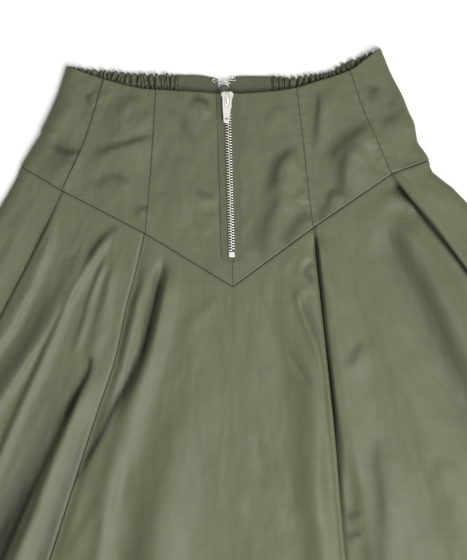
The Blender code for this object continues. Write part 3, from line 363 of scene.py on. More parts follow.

# %% [markdown]
# Deep in a narrow fold the cloth faces only other cloth, and olive light from olive cloth is dim. So
# the deepest lines, and the gaps under the pleat edges, get a second table of painted shade: the same
# kind of rows, with a darkness from 0 to 1 in place of a height. It is stored in the mesh, and the
# satin mixes it into its colour.

# %% Darkness deep in the folds: (darkness, width_left, width_right, fade_in, fade_out, route)
DEEP = {
    "front_centre": [
        (0.95, 3.2, 3.8, 0.1, 0.35, [(-68, -169), (-73, -190), (-79, -211), (-84, -232), (-92, -251),
         (-102, -272), (-115, -296), (-125, -314)]),
        (0.95, 2.4, 2.6, 0.2, 0.3, [(-97, -263), (-116, -296), (-127, -319), (-140, -340), (-150, -359),
         (-157, -371)]),
        (0.5, 1.6, 2.2, 0, 0.5, [(-151, -358), (-162, -377), (-172, -406), (-177, -439)]),
        (0.35, 2, 3, 0.2, 0.2, [(81, -165), (72, -168), (71, -174), (79, -184)]),
        (0.3, 2, 3, 0.2, 0.4, [(70, -195), (68, -204), (75, -222), (84, -242)]),
    ],
    "front_left": [
        (0.4, 12, 9, 0.15, 0.5, [(-158, -169), (-176, -201), (-189, -222), (-203, -243), (-223, -271),
         (-275, -350), (-350, -465)]),
        (0.5, 4, 4, 0.1, 0.3, [(-106, -123), (-118, -131), (-128, -143), (-139, -160)]),
        (0.25, 2.5, 2.5, 0.2, 0.4, [(-142, -162), (-152, -180), (-162, -200), (-172, -221),
         (-185, -247), (-197, -272), (-210, -298), (-225, -331), (-290, -480)]),
        (0.85, 3, 3, 0.1, 0.35, [(-136, -243), (-139, -262), (-152, -285), (-167, -316)]),
        (0.5, 26, 3, 0.2, 0.5, [(-138, -252), (-152, -285), (-167, -316), (-183, -346), (-200, -379),
         (-235, -450), (-290, -570)]),
        (0.42, 8, 7, 0.3, 0.4, [(-138, -290), (-148, -325), (-160, -359), (-188, -436), (-215, -510)]),
        (0.8, 14, 5, 0.35, 0.5, [(-172, -323), (-186, -351), (-200, -379), (-215, -412), (-227, -437),
         (-262, -520), (-310, -620)]),
    ],
    "front_right": [
        (0.95, 1.6, 1.6, 0.03, 0.3, [(80, -134), (81, -147), (82, -166), (84, -192), (85, -218),
         (86, -242), (89, -268), (91, -294), (93, -318), (94, -342), (96, -366), (98, -390),
         (102, -430)]),
        (0.9, 2.8, 2.8, 0.35, 0.35, [(84, -206), (86, -242), (89, -268), (91, -294), (93, -318),
         (94, -345)]),
        (0.95, 3.4, 3.4, 0.03, 0.5, [(157, -89), (164, -99), (176, -114), (189, -132), (203, -149),
         (217, -167), (228, -183), (262, -231), (310, -298)]),
        (0.5, 5, 5, 0.2, 0.3, [(152, -94), (164, -102), (176, -109)]),
        (0.32, 15, 15, 0.06, 0.5, [(144, -125), (158, -154), (178, -192), (196, -235), (214, -279),
         (223, -303), (262, -380), (330, -505)]),
        (0.42, 8, 7, 0.15, 0.5, [(150, -332), (134, -341), (132, -357), (135, -379), (136, -400),
         (136, -424), (135, -443), (141, -520)]),
        (0.4, 3, 3, 0.3, 0.3, [(118, -403), (109, -405), (101, -409)]),
        (0.45, 3, 3, 0.3, 0.3, [(118, -421), (109, -424), (101, -428)]),
        (0.32, 5, 3, 0.3, 0.3, [(122, -238), (115, -252), (108, -266)]),
    ],
    "yoke": [
        (0.5, 3, 4, 0.2, 0.3, [(-15, -10), (-24, -7), (-34, -3)]),
        (0.42, 6, 6, 0.3, 0.3, [(66, -52), (52, -62), (44, -75), (42, -90), (34, -100)]),
        (0.34, 7, 7, 0.3, 0.2, [(47, -90), (40, -110), (33, -128), (30, -145), (26, -160)]),
        (0.34, 7, 7, 0.3, 0.2, [(74, -112), (66, -124), (58, -136), (47, -149)]),
        (0.34, 3, 3, 0.2, 0.3, [(86, 2), (86, -17), (84, -34), (82, -60)]),
        (0.36, 9, 9, 0.3, 0.3, [(131, -32), (116, -46), (104, -60), (96, -74)]),
        (0.42, 6, 6, 0.3, 0.2, [(112, -58), (107, -74), (106, -90), (104, -106)]),
        (0.3, 4, 4, 0.3, 0.2, [(99, -94), (94, -106), (88, -118), (80, -124)]),
        (0.34, 3, 3, 0.3, 0.3, [(-68, -36), (-84, -42), (-101, -47), (-115, -51), (-138, -60)]),
        (0.32, 4, 4, 0.3, 0.3, [(-90, -88), (-103, -79), (-112, -78), (-124, -83), (-135, -90)]),
        (0.36, 5, 4, 0.3, 0.3, [(-138, -50), (-153, -53), (-170, -48)]),
        (0.2, 9, 9, 0.3, 0.3, [(-140, -64), (-158, -66), (-176, -62)]),
        (0.34, 3, 3, 0.3, 0.3, [(-12, -98), (-24, -97), (-34, -91)]),
        (0.34, 5, 5, 0.3, 0.3, [(140, 6), (139, -8), (145, -22)]),
        (0.32, 6, 6, 0.3, 0.4, [(168, -16), (156, -29), (145, -39)]),
        (0.25, 2, 2, 0.3, 0.3, [(-78, -107), (-86, -110), (-92, -114)]),
        (0.3, 3, 3, 0.3, 0.3, [(-134, 4), (-130, -5), (-127, -11)]),
        (0.2, 4, 5, 0.35, 0.35, [(-122, -23), (-107, -17), (-92, -7), (-79, 5)]),
        (0.2, 5, 5, 0.35, 0.35, [(-116, -40), (-98, -32), (-83, -23), (-70, -14)]),
        (0.2, 5, 5, 0.35, 0.35, [(-62, -14), (-50, -18), (-41, -29), (-33, -44), (-24, -55)]),
        (0.22, 9, 9, 0.35, 0.35, [(-174, -45), (-162, -47), (-151, -55), (-143, -51)]),
    ],
}


# The most painted shade that any point gets
DARKEST = 0.95


def deep_shade(panel, x, y):
    """Painted shade of a panel deep in its folds, 0 to 1. The side panels have no such rows."""
    dark = sum((fold_height(row, x, y) for row in DEEP.get(panel, ())), np.zeros(x.shape))
    return np.clip(dark, 0, DARKEST)


print("deep rows:", {panel: len(rows) for panel, rows in DEEP.items()})

# %% [markdown]
# ## Small ripples
#
# Between the named folds real satin is never quite flat. Its small ripples fan out from the waist
# like the folds do, so the noise is read in a fan: a short step across it, a long step down it.

# %% Ripples that fan out from the waist
FAN_TOP_Y = 260.0
RIPPLE_ACROSS = 15.0
RIPPLE_DOWN = 42.0
RIPPLE_HEIGHT = 0.75
FAN_RADIUS = 450.0   # how far from the fan's top the ripples have their stated spacing
NOISE_H, NOISE_FINER, NOISE_OCTAVES = 1.0, 2.1, 3


def ripples(x, y, seed, height=RIPPLE_HEIGHT, across=RIPPLE_ACROSS, down=RIPPLE_DOWN):
    """Height of small uneven ripples, the same on every run. seed picks a slice of the noise."""
    reach = np.hypot(x, FAN_TOP_Y - y)
    turn = np.arctan2(x, FAN_TOP_Y - y) * FAN_RADIUS
    flat = zip((turn / across).ravel(), (reach / down).ravel())
    values = [noise.fractal(Vector((a, b, seed)), NOISE_H, NOISE_FINER, NOISE_OCTAVES)
              for a, b in flat]
    return height * np.array(values).reshape(x.shape)


# %% [markdown]
# ## Heights of the layers
#
# Laid on a table, the back lies lowest, the side-front panels lie on it, and the centre and side
# panels overlap them at the four pleats. The yoke is two layers with turnings and lies highest.

# %% Layer heights in mm above the table
CLOTH = 0.5
LAYER_GAP = 0.25
YOKE_MID = 8.0
YOKE_CLOTH = 1.3
STACK = CLOTH + LAYER_GAP
FLOOR_CLEAR = 1.9
SIDE_SEAM_MID = 1.5
UNDER_BASE = 5.5
UPPER_BASE = 8.0
SEAM_DROP = 0.9
SEAM_RADIUS = 0.55
SEAM_LOW = YOKE_MID - SEAM_DROP - STACK - 2 * SEAM_RADIUS
SIDE_FOLD_REACH = 11.0

# Each pleat: cloth folded under at the yoke and at the hem, level that the cloth below is pressed
# to, how far beside the edge that reaches, how far down the yoke seam holds the cloth up, and the
# radius of the turned edge at five places from the yoke to the hem
PLEAT_PLACES = [0, 0.03, 0.12, 0.45, 1]
PLEATS = {
    "left_outer": (14, 36, 3.6, 4, 70, [SEAM_RADIUS, 0.5, 0.5, 0.7, 2.2]),
    "left_inner": (10, 30, 3.4, 4, 70, [SEAM_RADIUS, 0.5, 0.5, 0.8, 2.2]),
    "right_inner": (15, 40, 2.1, 4.5, 24, [SEAM_RADIUS, 1.5, 2.2, 1.5, 2.8]),
    "right_outer": (14, 40, 2.1, 6, 22, [SEAM_RADIUS, 2.8, 1.8, 1.4, 2.4]),
}
# How far in from each pleat's edge its cloth rises to its free height
RISE = {"left_outer": 24, "left_inner": 7, "right_inner": 7, "right_outer": 9}
SIDE_FRONTS = {"front_left": ("left_outer", "left_inner"),
               "front_right": ("right_inner", "right_outer")}
# How far below the yoke seam the cloth sinks to its free level, and the folds reach full height
UNDER_FREE_BELOW, UPPER_FREE_BELOW, FOLDS_FULL_BELOW, RIPPLES_FULL_BELOW = 110, 120, 30, 25
UNDER_SEED, UPPER_SEED = 3.3, 7.7


# %% How high each layer lies
def under_height(panel, x, y):
    """Middle of the side-front cloth, which the pleats on both its sides lie upon."""
    below_seam = yoke_seam(x) - y
    fall = UNDER_BASE - YOKE_MID + SEAM_DROP
    free = YOKE_MID - SEAM_DROP + fall * ease(0, UNDER_FREE_BELOW, below_seam)
    lift = folds(panel, x, y) + ripples(x, y, UNDER_SEED)
    height = free + lift * ease(0, FOLDS_FULL_BELOW, below_seam)
    outer, inner = SIDE_FRONTS[panel]
    for pleat, inside in ((outer, x - pleat_edge[outer](y)), (inner, pleat_edge[inner](y) - x)):
        _, _, pressed, reach, held, _ = PLEATS[pleat]
        tucked = 1 - ease(-1.5, reach, inside)
        flat = SEAM_LOW + (pressed - SEAM_LOW) * ease(2, held, below_seam)
        height = height + (np.minimum(height, flat) - height) * tucked
    return np.maximum(height, FLOOR_CLEAR)


def pleat_value(name, v):
    """Depth folded under and radius of the turned edge, v from 0 at the yoke to 1 at the hem."""
    under_top, under_hem, *_, radii = PLEATS[name]
    return under_top + (under_hem - under_top) * v ** 1.3, np.interp(v, PLEAT_PLACES, radii)


def soft_max(a, b, width=1.2):
    """The larger of two heights, with a soft change from one to the other."""
    return (a + b + np.sqrt((a - b) ** 2 + width ** 2)) / 2


def upper_height(panel, x, y, v, edges):
    """Middle of an upper panel, its pleat edges lying on the cloth below.

    edges holds, for each pleat: its name, the panel it lies on and the distance in from it."""
    below_seam = yoke_seam(x) - y
    rise = UPPER_BASE - YOKE_MID + SEAM_DROP
    z = YOKE_MID - SEAM_DROP + rise * ease(0, UPPER_FREE_BELOW, below_seam)
    z = (z + folds(panel, x, y) * ease(0, FOLDS_FULL_BELOW, below_seam)
         + ripples(x, y, UPPER_SEED) * ease(0, RIPPLES_FULL_BELOW, below_seam))
    for pleat, under_panel, inward in edges:
        depth, radius = pleat_value(pleat, v)
        under = under_height(under_panel, x, y)
        covered = 1 - ease(depth + 3, depth + 9, inward)
        z = z + (soft_max(z, under + 2 * STACK) - z) * covered
        beside = 1 - ease(radius, radius + RISE[pleat], inward)
        z = z + (under + STACK + 2 * radius - z) * beside
    return np.maximum(z, FLOOR_CLEAR)


# %% [markdown]
# ## A panel between four lines
#
# A panel is a patch: u runs across it and v down it, and the points in between are mixed from its
# four edges. A grid of such points follows the cut of the real panel, so its thread direction and
# its folds run as they would in cloth.

# %% Patches
CORNER_STEPS = 40   # a corner is found by going from line to line until it no longer moves


def panel_patch(x_left, x_right, y_top, y_bottom, guesses, insets=(0, 0, 0, 0), middle=None):
    """Gives the function that turns (u, v) into places on the panel.

    guesses are a y at the top and at the bottom, from which the corners are found. insets moves
    the left, right, top and bottom edge inwards, in mm. middle is the x that u = 0.5 has."""
    in_left, in_right, in_top, in_bottom = insets

    def corner(x_of, y_of, y, inset_x, inset_y):
        for _ in range(CORNER_STEPS):
            y = float(y_of(x_of(y)))
        return np.array([float(x_of(y)) + inset_x, y + inset_y])

    top_left = corner(x_left, y_top, guesses[0], in_left, -in_top)
    top_right = corner(x_right, y_top, guesses[0], -in_right, -in_top)
    low_left = corner(x_left, y_bottom, guesses[1], in_left, in_bottom)
    low_right = corner(x_right, y_bottom, guesses[1], -in_right, in_bottom)

    def down(x_of, top, low, inset, v):
        y = top[1] + (low[1] - top[1]) * v
        return np.stack([x_of(y) + inset, y], -1)

    def left(v):
        return down(x_left, top_left, low_left, in_left, v)

    def right(v):
        return down(x_right, top_right, low_right, -in_right, v)

    def along(y_of, first, last, inset, u):
        x = first[0] + (last[0] - first[0]) * u
        if middle is not None:
            x = np.where(u < 0.5, first[0] + (middle - first[0]) * u * 2,
                         middle + (last[0] - middle) * (u * 2 - 1))
        return np.stack([x, y_of(x) + inset], -1)

    def at(u, v):
        u, v = np.broadcast_arrays(np.asarray(u, float), np.asarray(v, float))
        zero, one, U, V = np.zeros(1), np.ones(1), u[..., None], v[..., None]
        shift_left = (1 - V) * (top_left - left(zero)) + V * (low_left - left(one))
        shift_right = (1 - V) * (top_right - right(zero)) + V * (low_right - right(one))
        mixed = ((1 - U) * (1 - V) * top_left + U * (1 - V) * top_right
                 + (1 - U) * V * low_left + U * V * low_right)
        return ((1 - U) * (left(v) + shift_left) + U * (right(v) + shift_right)
                + (1 - V) * along(y_top, top_left, top_right, -in_top, u)
                + V * along(y_bottom, low_left, low_right, in_bottom, u) - mixed)
    return at


def patch_width(patch, v):
    """Width of a patch at each v, in mm."""
    return np.linalg.norm(patch(1, v) - patch(0, v), axis=-1)


# %% [markdown]
# ## From a grid to cloth
#
# The shell function gives a grid its thickness along its own normals and closes it round the
# edges. Near an edge the shell thins out, so that the edge is round and catches the light. The
# thread direction is stored as a texture map in metres, because the weave follows the cut and
# not the folds.

# %% The thin closed shell
def shell(name, grid, thickness, material, shade=None):
    """Makes a thin closed cloth from a grid of middle points in garment millimetres.

    shade is the painted shade of each point, beside a seam or deep in a fold, from 0 to 1."""
    rows, columns = grid.shape[:2]
    normal = np.cross(np.gradient(grid, axis=0), np.gradient(grid, axis=1))
    normal /= np.maximum(np.linalg.norm(normal, axis=-1, keepdims=True), 1e-9)
    half = np.broadcast_to(np.asarray(thickness, float), (rows, columns))[..., None] * normal / 2
    points = to_model(np.concatenate([(grid + half).reshape(-1, 3), (grid - half).reshape(-1, 3)]))
    index = np.arange(rows * columns).reshape(rows, columns)
    a, b, c, d = index[:-1, :-1], index[1:, :-1], index[1:, 1:], index[:-1, 1:]
    outer = np.stack([a, b, c, d], -1).reshape(-1, 4)
    inner = outer[:, ::-1] + rows * columns
    border = np.concatenate([index[0, ::-1], index[1:, 0], index[-1, 1:], index[-2:0:-1, -1]])
    border = np.append(border, border[0])
    rim = np.stack([border[:-1], border[:-1] + rows * columns, border[1:] + rows * columns,
                    border[1:]], -1)
    faces = np.concatenate([outer, inner, rim])
    mesh = bpy.data.meshes.new(name)
    mesh.from_pydata(points.tolist(), [], faces.tolist())
    threads = mesh.uv_layers.new(name="threads")
    flat = np.tile(grid.reshape(-1, 3)[:, :2], (2, 1)) * MM
    threads.data.foreach_set("uv", flat[faces.ravel()].ravel())
    if shade is not None:
        # Painted shade: the darkness of seam grooves and deep folds is stored as a point attribute for
        # the satin's colour
        dark = mesh.attributes.new("painted_shade", "FLOAT", "POINT")
        dark.data.foreach_set("value", np.tile(shade.ravel(), 2))
    mesh.shade_smooth()
    return piece(name, mesh, material)


def piece(name, mesh, material, body="root"):
    """Adds a mesh or curve as a named piece that rides on a body."""
    made = bpy.data.objects.new(name, mesh)
    mesh.materials.append(material)
    bpy.context.scene.collection.objects.link(made)
    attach(made, body)
    return made


# %% [markdown]
# ## Colour and nodes
#
# Two small helpers serve every material: one turns a hex colour into linear light, and one adds a
# node with its settings and its links.

# %% Helpers for materials
def linear(hex_colour):
    """Turns an sRGB hex colour into linear values for a shader."""
    values = [int(hex_colour[i:i + 2], 16) / 255 for i in (1, 3, 5)]
    return [v / 12.92 if v <= 0.04045 else ((v + 0.055) / 1.055) ** 2.4 for v in values] + [1.0]


def node(tree, kind, settings=None, **inputs):
    """Adds a node. Settings are its own, inputs are values or sockets of other nodes."""
    made = tree.nodes.new(kind)
    for key, value in (settings or {}).items():
        setattr(made, key, value)
    for key, value in inputs.items():
        socket = made.inputs[int(key[1:])] if key[1:].isdigit() else made.inputs[key.replace("_", " ")]
        if isinstance(value, bpy.types.NodeSocket):
            tree.links.new(value, socket)
        else:
            socket.default_value = value
    return made


def new_material(name):
    """A material with an empty node tree."""
    made = bpy.data.materials.new(name)
    made.use_nodes = True
    made.node_tree.nodes.clear()
    return made, made.node_tree


# A Mix node keeps sockets for each kind of value: its two colours are inputs 6 and 7, its mixed
# colour is output 2, and input 0 is the share of the second
COLOURS = {"data_type": "RGBA"}
# A Wave texture of scale 1 repeats about every 0.32 m
WAVE_LENGTH = 1 / 3.14


# %% [markdown]
# ## Polyester satin
#
# The cloth is a filament polyester satin, woven with long floats and dyed olive. To the eye the
# floats give a soft, broad sheen that follows the threads, and slightly uneven filaments show as
# faint streaks both ways. It is not a mirror: the twist of the yarn spreads the light, so the
# roughness is about 0.5. Real floats are 0.15 mm apart, and they are drawn three times as coarse.

# %% Satin
FLOAT_SPACING = 0.45
STREAK_LENGTH = 60.0
STREAK_SPACING = 1.6
# Near black olive that the painted shade of seams and deep folds mixes the satin's colour towards
PAINTED_SHADE_COLOUR = "#1c2115"
POLYESTER_IOR = 1.57


def satin(name, light, dark, roughness):
    """Polyester satin with floats, streaks and a soft sheen."""
    made, tree = new_material(name)
    threads = node(tree, "ShaderNodeUVMap", {"uv_map": "threads"}).outputs["UV"]
    streaks = []
    for long_way in (0, 1):
        scale = [1 / (STREAK_SPACING * MM)] * 3
        scale[long_way] = 1 / (STREAK_LENGTH * MM)
        stretched = node(tree, "ShaderNodeVectorMath", {"operation": "MULTIPLY"}, _0=threads, _1=scale)
        streaks.append(node(tree, "ShaderNodeTexNoise", {"noise_dimensions": "2D"},
                            Vector=stretched.outputs[0], Scale=1.0, Detail=3.0, Roughness=0.6))
    both = node(tree, "ShaderNodeMath", {"operation": "ADD"}, _0=streaks[0].outputs[0],
                _1=streaks[1].outputs[0])
    cloud = node(tree, "ShaderNodeTexNoise", {"noise_dimensions": "2D"}, Vector=threads, Scale=14.0,
                 Detail=3.0, Roughness=0.5)
    tone = node(tree, "ShaderNodeMath", {"operation": "MULTIPLY_ADD"}, _0=both.outputs[0], _1=0.5,
                _2=-0.1)
    tone = node(tree, "ShaderNodeMath", {"operation": "MULTIPLY_ADD"}, _0=cloud.outputs[0], _1=0.35,
                _2=tone.outputs[0])
    colour = node(tree, "ShaderNodeMix", COLOURS, _0=tone.outputs[0], _6=linear(dark),
                  _7=linear(light)).outputs[2]
    # Painted shade: the stored darkness of seam grooves and deep folds mixes the colour towards a near
    # black olive
    shade_attribute = node(tree, "ShaderNodeAttribute", {"attribute_name": "painted_shade"})
    colour = node(tree, "ShaderNodeMix", COLOURS, _0=shade_attribute.outputs["Fac"], _6=colour,
                  _7=linear(PAINTED_SHADE_COLOUR)).outputs[2]
    floats = node(tree, "ShaderNodeTexWave", {"bands_direction": "X"}, Vector=threads,
                  Scale=WAVE_LENGTH / (FLOAT_SPACING * MM), Distortion=0.6, Detail=1.0)
    relief = node(tree, "ShaderNodeMath", {"operation": "MULTIPLY_ADD"}, _0=floats.outputs[1], _1=0.25,
                  _2=both.outputs[0])
    bump = node(tree, "ShaderNodeBump", Strength=0.35, Distance=0.00012, Height=relief.outputs[0])
    spread = node(tree, "ShaderNodeMapRange", Value=both.outputs[0], From_Min=0.6, From_Max=1.4,
                  To_Min=roughness - 0.03, To_Max=roughness + 0.05)
    shader = node(tree, "ShaderNodeBsdfPrincipled", Base_Color=colour, Normal=bump.outputs[0],
                  Roughness=spread.outputs[0], IOR=POLYESTER_IOR, Specular_IOR_Level=0.3,
                  Sheen_Weight=0.08, Sheen_Roughness=0.4, Sheen_Tint=linear("#c9cdb4"))
    node(tree, "ShaderNodeOutputMaterial", _0=shader.outputs[0])
    return made


olive_satin = satin("olive_polyester_satin", "#62674e", "#51563f", 0.5)
satin_inside = satin("olive_satin_inside", "#565b44", "#464a36", 0.58)
print("satins:", olive_satin.name, satin_inside.name)

# %% [markdown]
# ## Zip tape and thread
#
# A zip tape is a narrow woven polyester band with a plain matt face and fine ribs across it. The thread
# is spun polyester in the same olive, a shade lighter than the cloth.

# %% Woven tape and sewing thread
RIB_SPACING = 0.7


def woven_tape(name, light, dark):
    """Matt ribbed tape."""
    made, tree = new_material(name)
    place = node(tree, "ShaderNodeTexCoord").outputs["Object"]
    ribs = node(tree, "ShaderNodeTexWave", {"bands_direction": "Y"}, Vector=place,
                Scale=WAVE_LENGTH / (RIB_SPACING * MM), Distortion=0.4, Detail=2.0)
    fuzz = node(tree, "ShaderNodeTexNoise", Vector=place, Scale=900.0, Detail=4.0)
    tone = node(tree, "ShaderNodeMath", {"operation": "MULTIPLY"}, _0=ribs.outputs[1],
                _1=fuzz.outputs[0])
    colour = node(tree, "ShaderNodeMix", COLOURS, _0=tone.outputs[0], _6=linear(dark),
                  _7=linear(light)).outputs[2]
    bump = node(tree, "ShaderNodeBump", Strength=0.5, Distance=0.0002, Height=tone.outputs[0])
    shader = node(tree, "ShaderNodeBsdfPrincipled", Base_Color=colour, Roughness=0.75,
                  Normal=bump.outputs[0], IOR=POLYESTER_IOR)
    node(tree, "ShaderNodeOutputMaterial", _0=shader.outputs[0])
    return made


def spun_thread(name, light, dark):
    """Spun polyester thread with its twist."""
    made, tree = new_material(name)
    place = node(tree, "ShaderNodeTexCoord").outputs["Object"]
    twist = node(tree, "ShaderNodeTexWave", {"bands_direction": "DIAGONAL"}, Vector=place,
                 Scale=1100.0, Distortion=0.5)
    colour = node(tree, "ShaderNodeMix", COLOURS, _0=twist.outputs[1], _6=linear(dark),
                  _7=linear(light)).outputs[2]
    bump = node(tree, "ShaderNodeBump", Strength=0.4, Distance=0.0001, Height=twist.outputs[1])
    shader = node(tree, "ShaderNodeBsdfPrincipled", Base_Color=colour, Roughness=0.6,
                  Normal=bump.outputs[0])
    node(tree, "ShaderNodeOutputMaterial", _0=shader.outputs[0])
    return made


olive_tape = woven_tape("olive_woven_tape", "#666a52", "#4c503b")
olive_thread = spun_thread("olive_spun_thread", "#767a62", "#5a5e47")

# %% [markdown]
# ## Nickel plate and lacquer
#
# The teeth, slider, tab, stop, hook and eye are die-cast or stamped brass with polished nickel
# plate: bright and slightly warm, with fine rubbing marks that blur what it mirrors. The concealed
# zip's slider is the same casting under an olive grey lacquer.

# %% Metals
def nickel_plate(name, light, dark, roughness):
    """Polished nickel plate with fine rubbing marks."""
    made, tree = new_material(name)
    place = node(tree, "ShaderNodeTexCoord").outputs["Object"]
    stretched = node(tree, "ShaderNodeVectorMath", {"operation": "MULTIPLY"}, _0=place,
                     _1=(2500.0, 300.0, 900.0))
    marks = node(tree, "ShaderNodeTexNoise", Vector=stretched.outputs[0], Scale=1.0, Detail=3.0)
    colour = node(tree, "ShaderNodeMix", COLOURS, _0=marks.outputs[0], _6=linear(dark),
                  _7=linear(light)).outputs[2]
    blur = node(tree, "ShaderNodeMapRange", Value=marks.outputs[0], From_Min=0.3, From_Max=0.7,
                To_Min=roughness - 0.06, To_Max=roughness + 0.08)
    bump = node(tree, "ShaderNodeBump", Strength=0.15, Distance=0.00003, Height=marks.outputs[0])
    shader = node(tree, "ShaderNodeBsdfPrincipled", Base_Color=colour, Roughness=blur.outputs[0],
                  Normal=bump.outputs[0], Metallic=1.0)
    node(tree, "ShaderNodeOutputMaterial", _0=shader.outputs[0])
    return made


def lacquer(name, light, dark):
    """Olive grey lacquer on a small casting."""
    made, tree = new_material(name)
    place = node(tree, "ShaderNodeTexCoord").outputs["Object"]
    specks = node(tree, "ShaderNodeTexNoise", Vector=place, Scale=1500.0, Detail=3.0)
    colour = node(tree, "ShaderNodeMix", COLOURS, _0=specks.outputs[0], _6=linear(dark),
                  _7=linear(light)).outputs[2]
    bump = node(tree, "ShaderNodeBump", Strength=0.1, Distance=0.00004, Height=specks.outputs[0])
    shader = node(tree, "ShaderNodeBsdfPrincipled", Base_Color=colour, Roughness=0.35,
                  Normal=bump.outputs[0], Coat_Weight=0.4, Coat_Roughness=0.15)
    node(tree, "ShaderNodeOutputMaterial", _0=shader.outputs[0])
    return made


polished_nickel = nickel_plate("polished_nickel_plate", "#e8e6df", "#cecbc3", 0.32)
olive_lacquer = lacquer("olive_grey_lacquer", "#55584a", "#43463a")

# %% [markdown]
# ## The front skirt panels
#
# The centre panel has both edges folded under, and each side panel one. Along a pleat the cloth
# turns round a small radius and runs on beneath. So each grid has three stretches: the hidden part
# from its inner end outwards, the turned edge, and the open panel with closer points beside the
# turn. Rows are closer in the part that the picture shows.

# %% Grid places
SEAM_GAP = 0.3
GUESS_SKIRT = (-100, -700)
NEAR_EDGE = np.array([1.2, 2.2, 3.4, 4.8, 6.4, 8.1, 9.9, 11.8, 13.7, 15.6, 17.6, 19.6, 21.7, 23.8,
                      26])
NEAR_EDGE_SHARE = 0.34   # the most that those close points take of a panel's width
HIDDEN_PART = np.array([1.0, 0.75, 0.5, 0.28, 0.12])
TURN_ANGLES = np.radians(np.linspace(-90, 90, 9))
SIDE_ANGLES = np.radians(np.linspace(0, 78, 10))
DOWN = np.concatenate([[0, 0.0007, 0.0015, 0.0028, 0.0048], np.linspace(0.008, 0.6, 116),
                       np.linspace(0.6, 1, 40)[1:]])[:, None]
TOP_DROP, TOP_ROLL = 0.7, 1.3   # how deep and how far the cloth rolls into the yoke seam
SIDE_FRONT_COLUMNS, CENTRE_COLUMNS, SIDE_COLUMNS = 118, 128, 72


def column(place, z):
    """Joins places (rows, 1, 2) and heights (rows, 1) into a grid column."""
    return np.concatenate([place, z[..., None]], -1)


def seam_roll(x, y):
    """How far cloth rolls down into the yoke seam."""
    return TOP_DROP * bell(np.maximum(yoke_seam(x) - y, 0), TOP_ROLL)


def pleat_columns(patch, pleat, under_panel, from_right):
    """The hidden part and the turned edge of a pleat, from the hidden end outwards."""
    depth, radius = pleat_value(pleat, DOWN)
    width = patch_width(patch, DOWN)
    made = []

    def place_at(inward):
        return patch(1 - inward / width if from_right else inward / width, DOWN)

    for share in HIDDEN_PART:
        place = place_at(np.maximum(depth * share, radius * 1.05))
        z = under_height(under_panel, place[..., 0], place[..., 1]) + STACK
        made.append(column(place, z - 0.6 * seam_roll(place[..., 0], place[..., 1])))
    foot = place_at(radius)
    base = under_height(under_panel, foot[..., 0], foot[..., 1]) + STACK + radius
    for angle in TURN_ANGLES:
        place = place_at(radius * (1 - math.cos(angle)))
        roll = seam_roll(place[..., 0], place[..., 1]) * (0.8 + 0.2 * math.sin(angle))
        made.append(column(place, base + radius * math.sin(angle) - roll))
    return made


def open_columns(patch, distances, height):
    """Columns of the open panel at distances (rows, columns) in from its left edge."""
    width = patch_width(patch, DOWN)
    place = patch(distances / width, DOWN)
    x, y = place[..., 0], place[..., 1]
    z = height(x, y, distances, width) - seam_roll(x, y)
    return [column(place[:, i:i + 1], z[:, i:i + 1]) for i in range(distances.shape[1])]


def near_edge(width):
    """Distances beside an edge, closer together where the panel is narrow."""
    return np.minimum(NEAR_EDGE, width * NEAR_EDGE_SHARE * NEAR_EDGE / NEAR_EDGE[-1])


# %% Lines between the panels
skirt_line = {"left": left_side, "right": right_side, **pleat_edge}
SKIRT_PANELS = {
    "side_left": ("left", "left_outer"),
    "front_left": ("left_outer", "left_inner"),
    "front_centre": ("left_inner", "right_inner"),
    "front_right": ("right_inner", "right_outer"),
    "side_right": ("right_outer", "right"),
}
skirt_patch = {}
for panel, (left, right) in SKIRT_PANELS.items():
    skirt_patch[panel] = panel_patch(skirt_line[left], skirt_line[right], yoke_seam, hem, GUESS_SKIRT,
                                     (0, 0, SEAM_GAP / 2, 0), 0.0 if panel == "front_centre" else None)
    widths = patch_width(skirt_patch[panel], np.array([0.0, 1.0]))
    print(panel, "width at the yoke and the hem:", widths.round(0))


# %% [markdown]
# A shell thins towards its top and bottom edge, so that the edge is round. One function then does the
# same for every sheet: it makes the cloth and hides the plain part of the model that it replaces. The
# side-front panels come first, since the others lie upon them.

# %% Thickness towards the edges
EDGE_ROUND = np.array([0.35, 0.8, 1.0])


def edge_thickness(grid, full):
    """Thickness of each point, less at the outermost rows."""
    rows, columns = grid.shape[:2]
    share = np.ones((rows, columns))
    for i, value in enumerate(EDGE_ROUND):
        share[i, :] *= value
        share[rows - 1 - i, :] *= value
    return full * share


def sheet(name, node_name, grid, thickness, material, shade=None):
    """Makes a sheet of cloth from its grid and hides the plain piece that it replaces."""
    made = shell(name, grid, edge_thickness(grid, thickness), material, shade)
    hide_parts(node_name)
    return made


def skirt_piece(panel, columns, node_name):
    """Turns the columns of a skirt panel into its cloth."""
    grid = np.concatenate(columns, axis=1)
    shade = deep_shade(panel, grid[..., 0], grid[..., 1])
    return sheet(panel + "_satin", node_name, grid, CLOTH, olive_satin, shade)


# %% Side-front panels, beneath the pleats
MARGIN_PART = np.array([[1.0, 0.66, 0.33, 0.12]])


